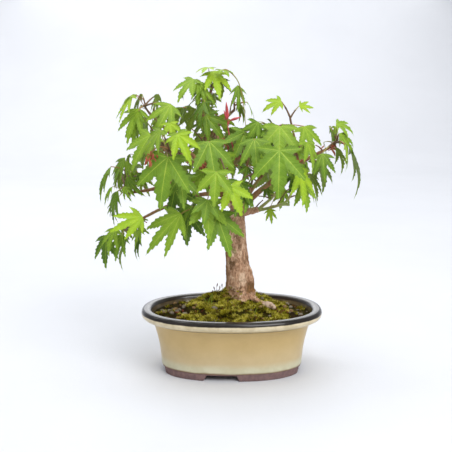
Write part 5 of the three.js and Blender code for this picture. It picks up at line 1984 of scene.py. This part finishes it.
# %% Stones
STONE_COUNT = 130
STONE_SIZE = (0.7, 1.3)
STONE_SHAPE = np.array([1.3, 1, 0.75])
STONE_SHAKE = (0.85, 1.12)
STONE_LIFT = 0.35
TAN_SHARE = 0.4
ANY_TURN = 6.28
LARGE_STONES = [
    (-38, -8, 2.6), (-45, -3, 2.0), (-52, 2, 2.4), (-47, 8, 2.8), (-56, -6, 1.9), (-30, -2, 1.8),
    (57, -4, 2.2), (52, 8, 2.4), (30, -12, 1.7), (-12, -13, 1.9),
]

bpy.ops.mesh.primitive_ico_sphere_add(subdivisions=2, radius=1)
pebble = bpy.context.object
pebble_points = np.array([tuple(v.co) for v in pebble.data.vertices])
pebble_faces = [list(face.vertices) for face in pebble.data.polygons]
bpy.data.objects.remove(pebble)

litter = Bundle()
stones = list(LARGE_STONES)
for i in range(STONE_COUNT):
    angle, reach = even_place(chance)
    stones.append((*in_oval(angle, max(reach, chance.random())), above(STONE_SIZE, chance.random() ** 2)))
for x, y, size in stones:
    place, normal = drop_on(soil_piece, x, y)
    if place is None:
        continue
    turn = np.array(Matrix.Rotation(chance.random() * ANY_TURN, 3, "Z"))
    shape = pebble_points * (size * STONE_SHAPE) * chance.uniform(*STONE_SHAKE, (len(pebble_points), 1))
    slot = TAN_STONE if chance.random() < TAN_SHARE else GREY_STONE
    litter.add(shape @ turn.T + place + (0, 0, size * STONE_LIFT), pebble_faces, slot)
print("stones:", len(litter.points))

# %% Scraps of leaves
FLAKE_COUNT = 110
SET_FLAKES = 44
RED_PLACES = [(0, -36), (48, -6), (-40, -12), (30, -30)]
RED_SHARE = 0.2
RED_SCATTER = (4, 3)
FLAKE_REACH = 0.96
FLAKE_HALF_LENGTH = (1.0, 2.4)
FLAKE_HALF_WIDTH = (0.5, 1.0)
FLAKE_HEIGHT = (1.0, 2.0)
FLAKE_TILT = 0.35
FLAKE_RISE = np.array([0, 0, 0.3])
FLAKE_TOP = np.array([0, 0, 0.5])
FLAKE_UNDER = np.array([0, 0, 0.1])
FLAKE_FACES = [[0, 1, 4], [1, 2, 4], [2, 3, 4], [3, 0, 4], [1, 0, 5], [2, 1, 5], [3, 2, 5], [0, 3, 5]]

for i in range(FLAKE_COUNT):
    if i < SET_FLAKES:
        home = RED_PLACES[i % len(RED_PLACES)]
        x, y = [middle + chance.normal(0, scatter) for middle, scatter in zip(home, RED_SCATTER)]
    else:
        angle, reach = even_place(chance)
        x, y = in_oval(angle, reach * FLAKE_REACH)
    place, normal = drop_on(soil_piece, x, y)
    if place is None:
        continue
    turn = chance.random() * ANY_TURN
    along = np.array([math.cos(turn), math.sin(turn), chance.normal(0, FLAKE_TILT)])
    wide = np.array([-math.sin(turn), math.cos(turn), chance.normal(0, FLAKE_TILT)])
    half, width = chance.uniform(*FLAKE_HALF_LENGTH), chance.uniform(*FLAKE_HALF_WIDTH)
    middle = place + (0, 0, chance.uniform(*FLAKE_HEIGHT))
    corners = [middle - along * half, middle - wide * width + FLAKE_RISE, middle + along * half,
               middle + wide * width + FLAKE_RISE, middle + FLAKE_TOP, middle - FLAKE_UNDER]
    slot = RED_LITTER if i < SET_FLAKES or chance.random() < RED_SHARE else BROWN_LITTER
    litter.add(corners, FLAKE_FACES, slot)
print("stones and scraps:", len(litter.points))

# %% Grass and spore stalks
GRASS_LEAN = 0.45
GRASS_DEPTH = 0.6
SPORE_BOW = (0.8, 0.5)
SPORE_SWING = 3
GRASS_SHAPE = np.array([0.42, 0.42, 0.4, 0.38, 0.34, 0.3, 0.24, 0.15, 0.05])
SPORE_SHAPE = np.array([0.14, 0.12, 0.12, 0.12, 0.12, 0.12, 0.2, 0.5, 0.5, 0.1])
BLADE_SIDES = 5
BLADE_SINK = np.array([0, 0, 0.5])
# Place, height, and direction of the lean in radians.
BLADES = [(-17, -4, 13, 0.3), (-14, -6, 11, 1.4), (-19, 0, 10, 2.6), (24, -22, 7, 0.6)]
# Place and height.
SPORE_STALKS = [(-12, 10, 9), (-9, 12, 11), (-7.5, 9, 10), (-4, 12, 11), (-2, 10, 9), (-14, 7, 8)]

for x, y, height, turn in BLADES:
    foot = drop_on(soil_piece, x, y)[0] - BLADE_SINK
    lean = np.array([math.cos(turn), math.sin(turn) * GRASS_DEPTH, 0])
    line = [foot + (0, 0, height * t) + lean * height * GRASS_LEAN * t * t
            for t in np.linspace(0, 1, len(GRASS_SHAPE))]
    litter.add(*tube(np.array(line), GRASS_SHAPE, BLADE_SIDES), GRASS)
for x, y, height in SPORE_STALKS:
    foot = drop_on(soil_piece, x, y)[0] - BLADE_SINK
    line = [foot + (SPORE_BOW[0] * math.sin(t * SPORE_SWING + x), SPORE_BOW[1] * t, height * t)
            for t in np.linspace(0, 1, len(SPORE_SHAPE))]
    litter.add(*tube(np.array(line), SPORE_SHAPE, BLADE_SIDES), BROWN_LITTER)
litter_piece = litter.build("stones_and_litter", LITTER_FINISHES)
for piece in (moss_piece, litter_piece):
    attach(piece, "root")
    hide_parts("soil")
print("stone and litter faces:", len(litter_piece.data.polygons))
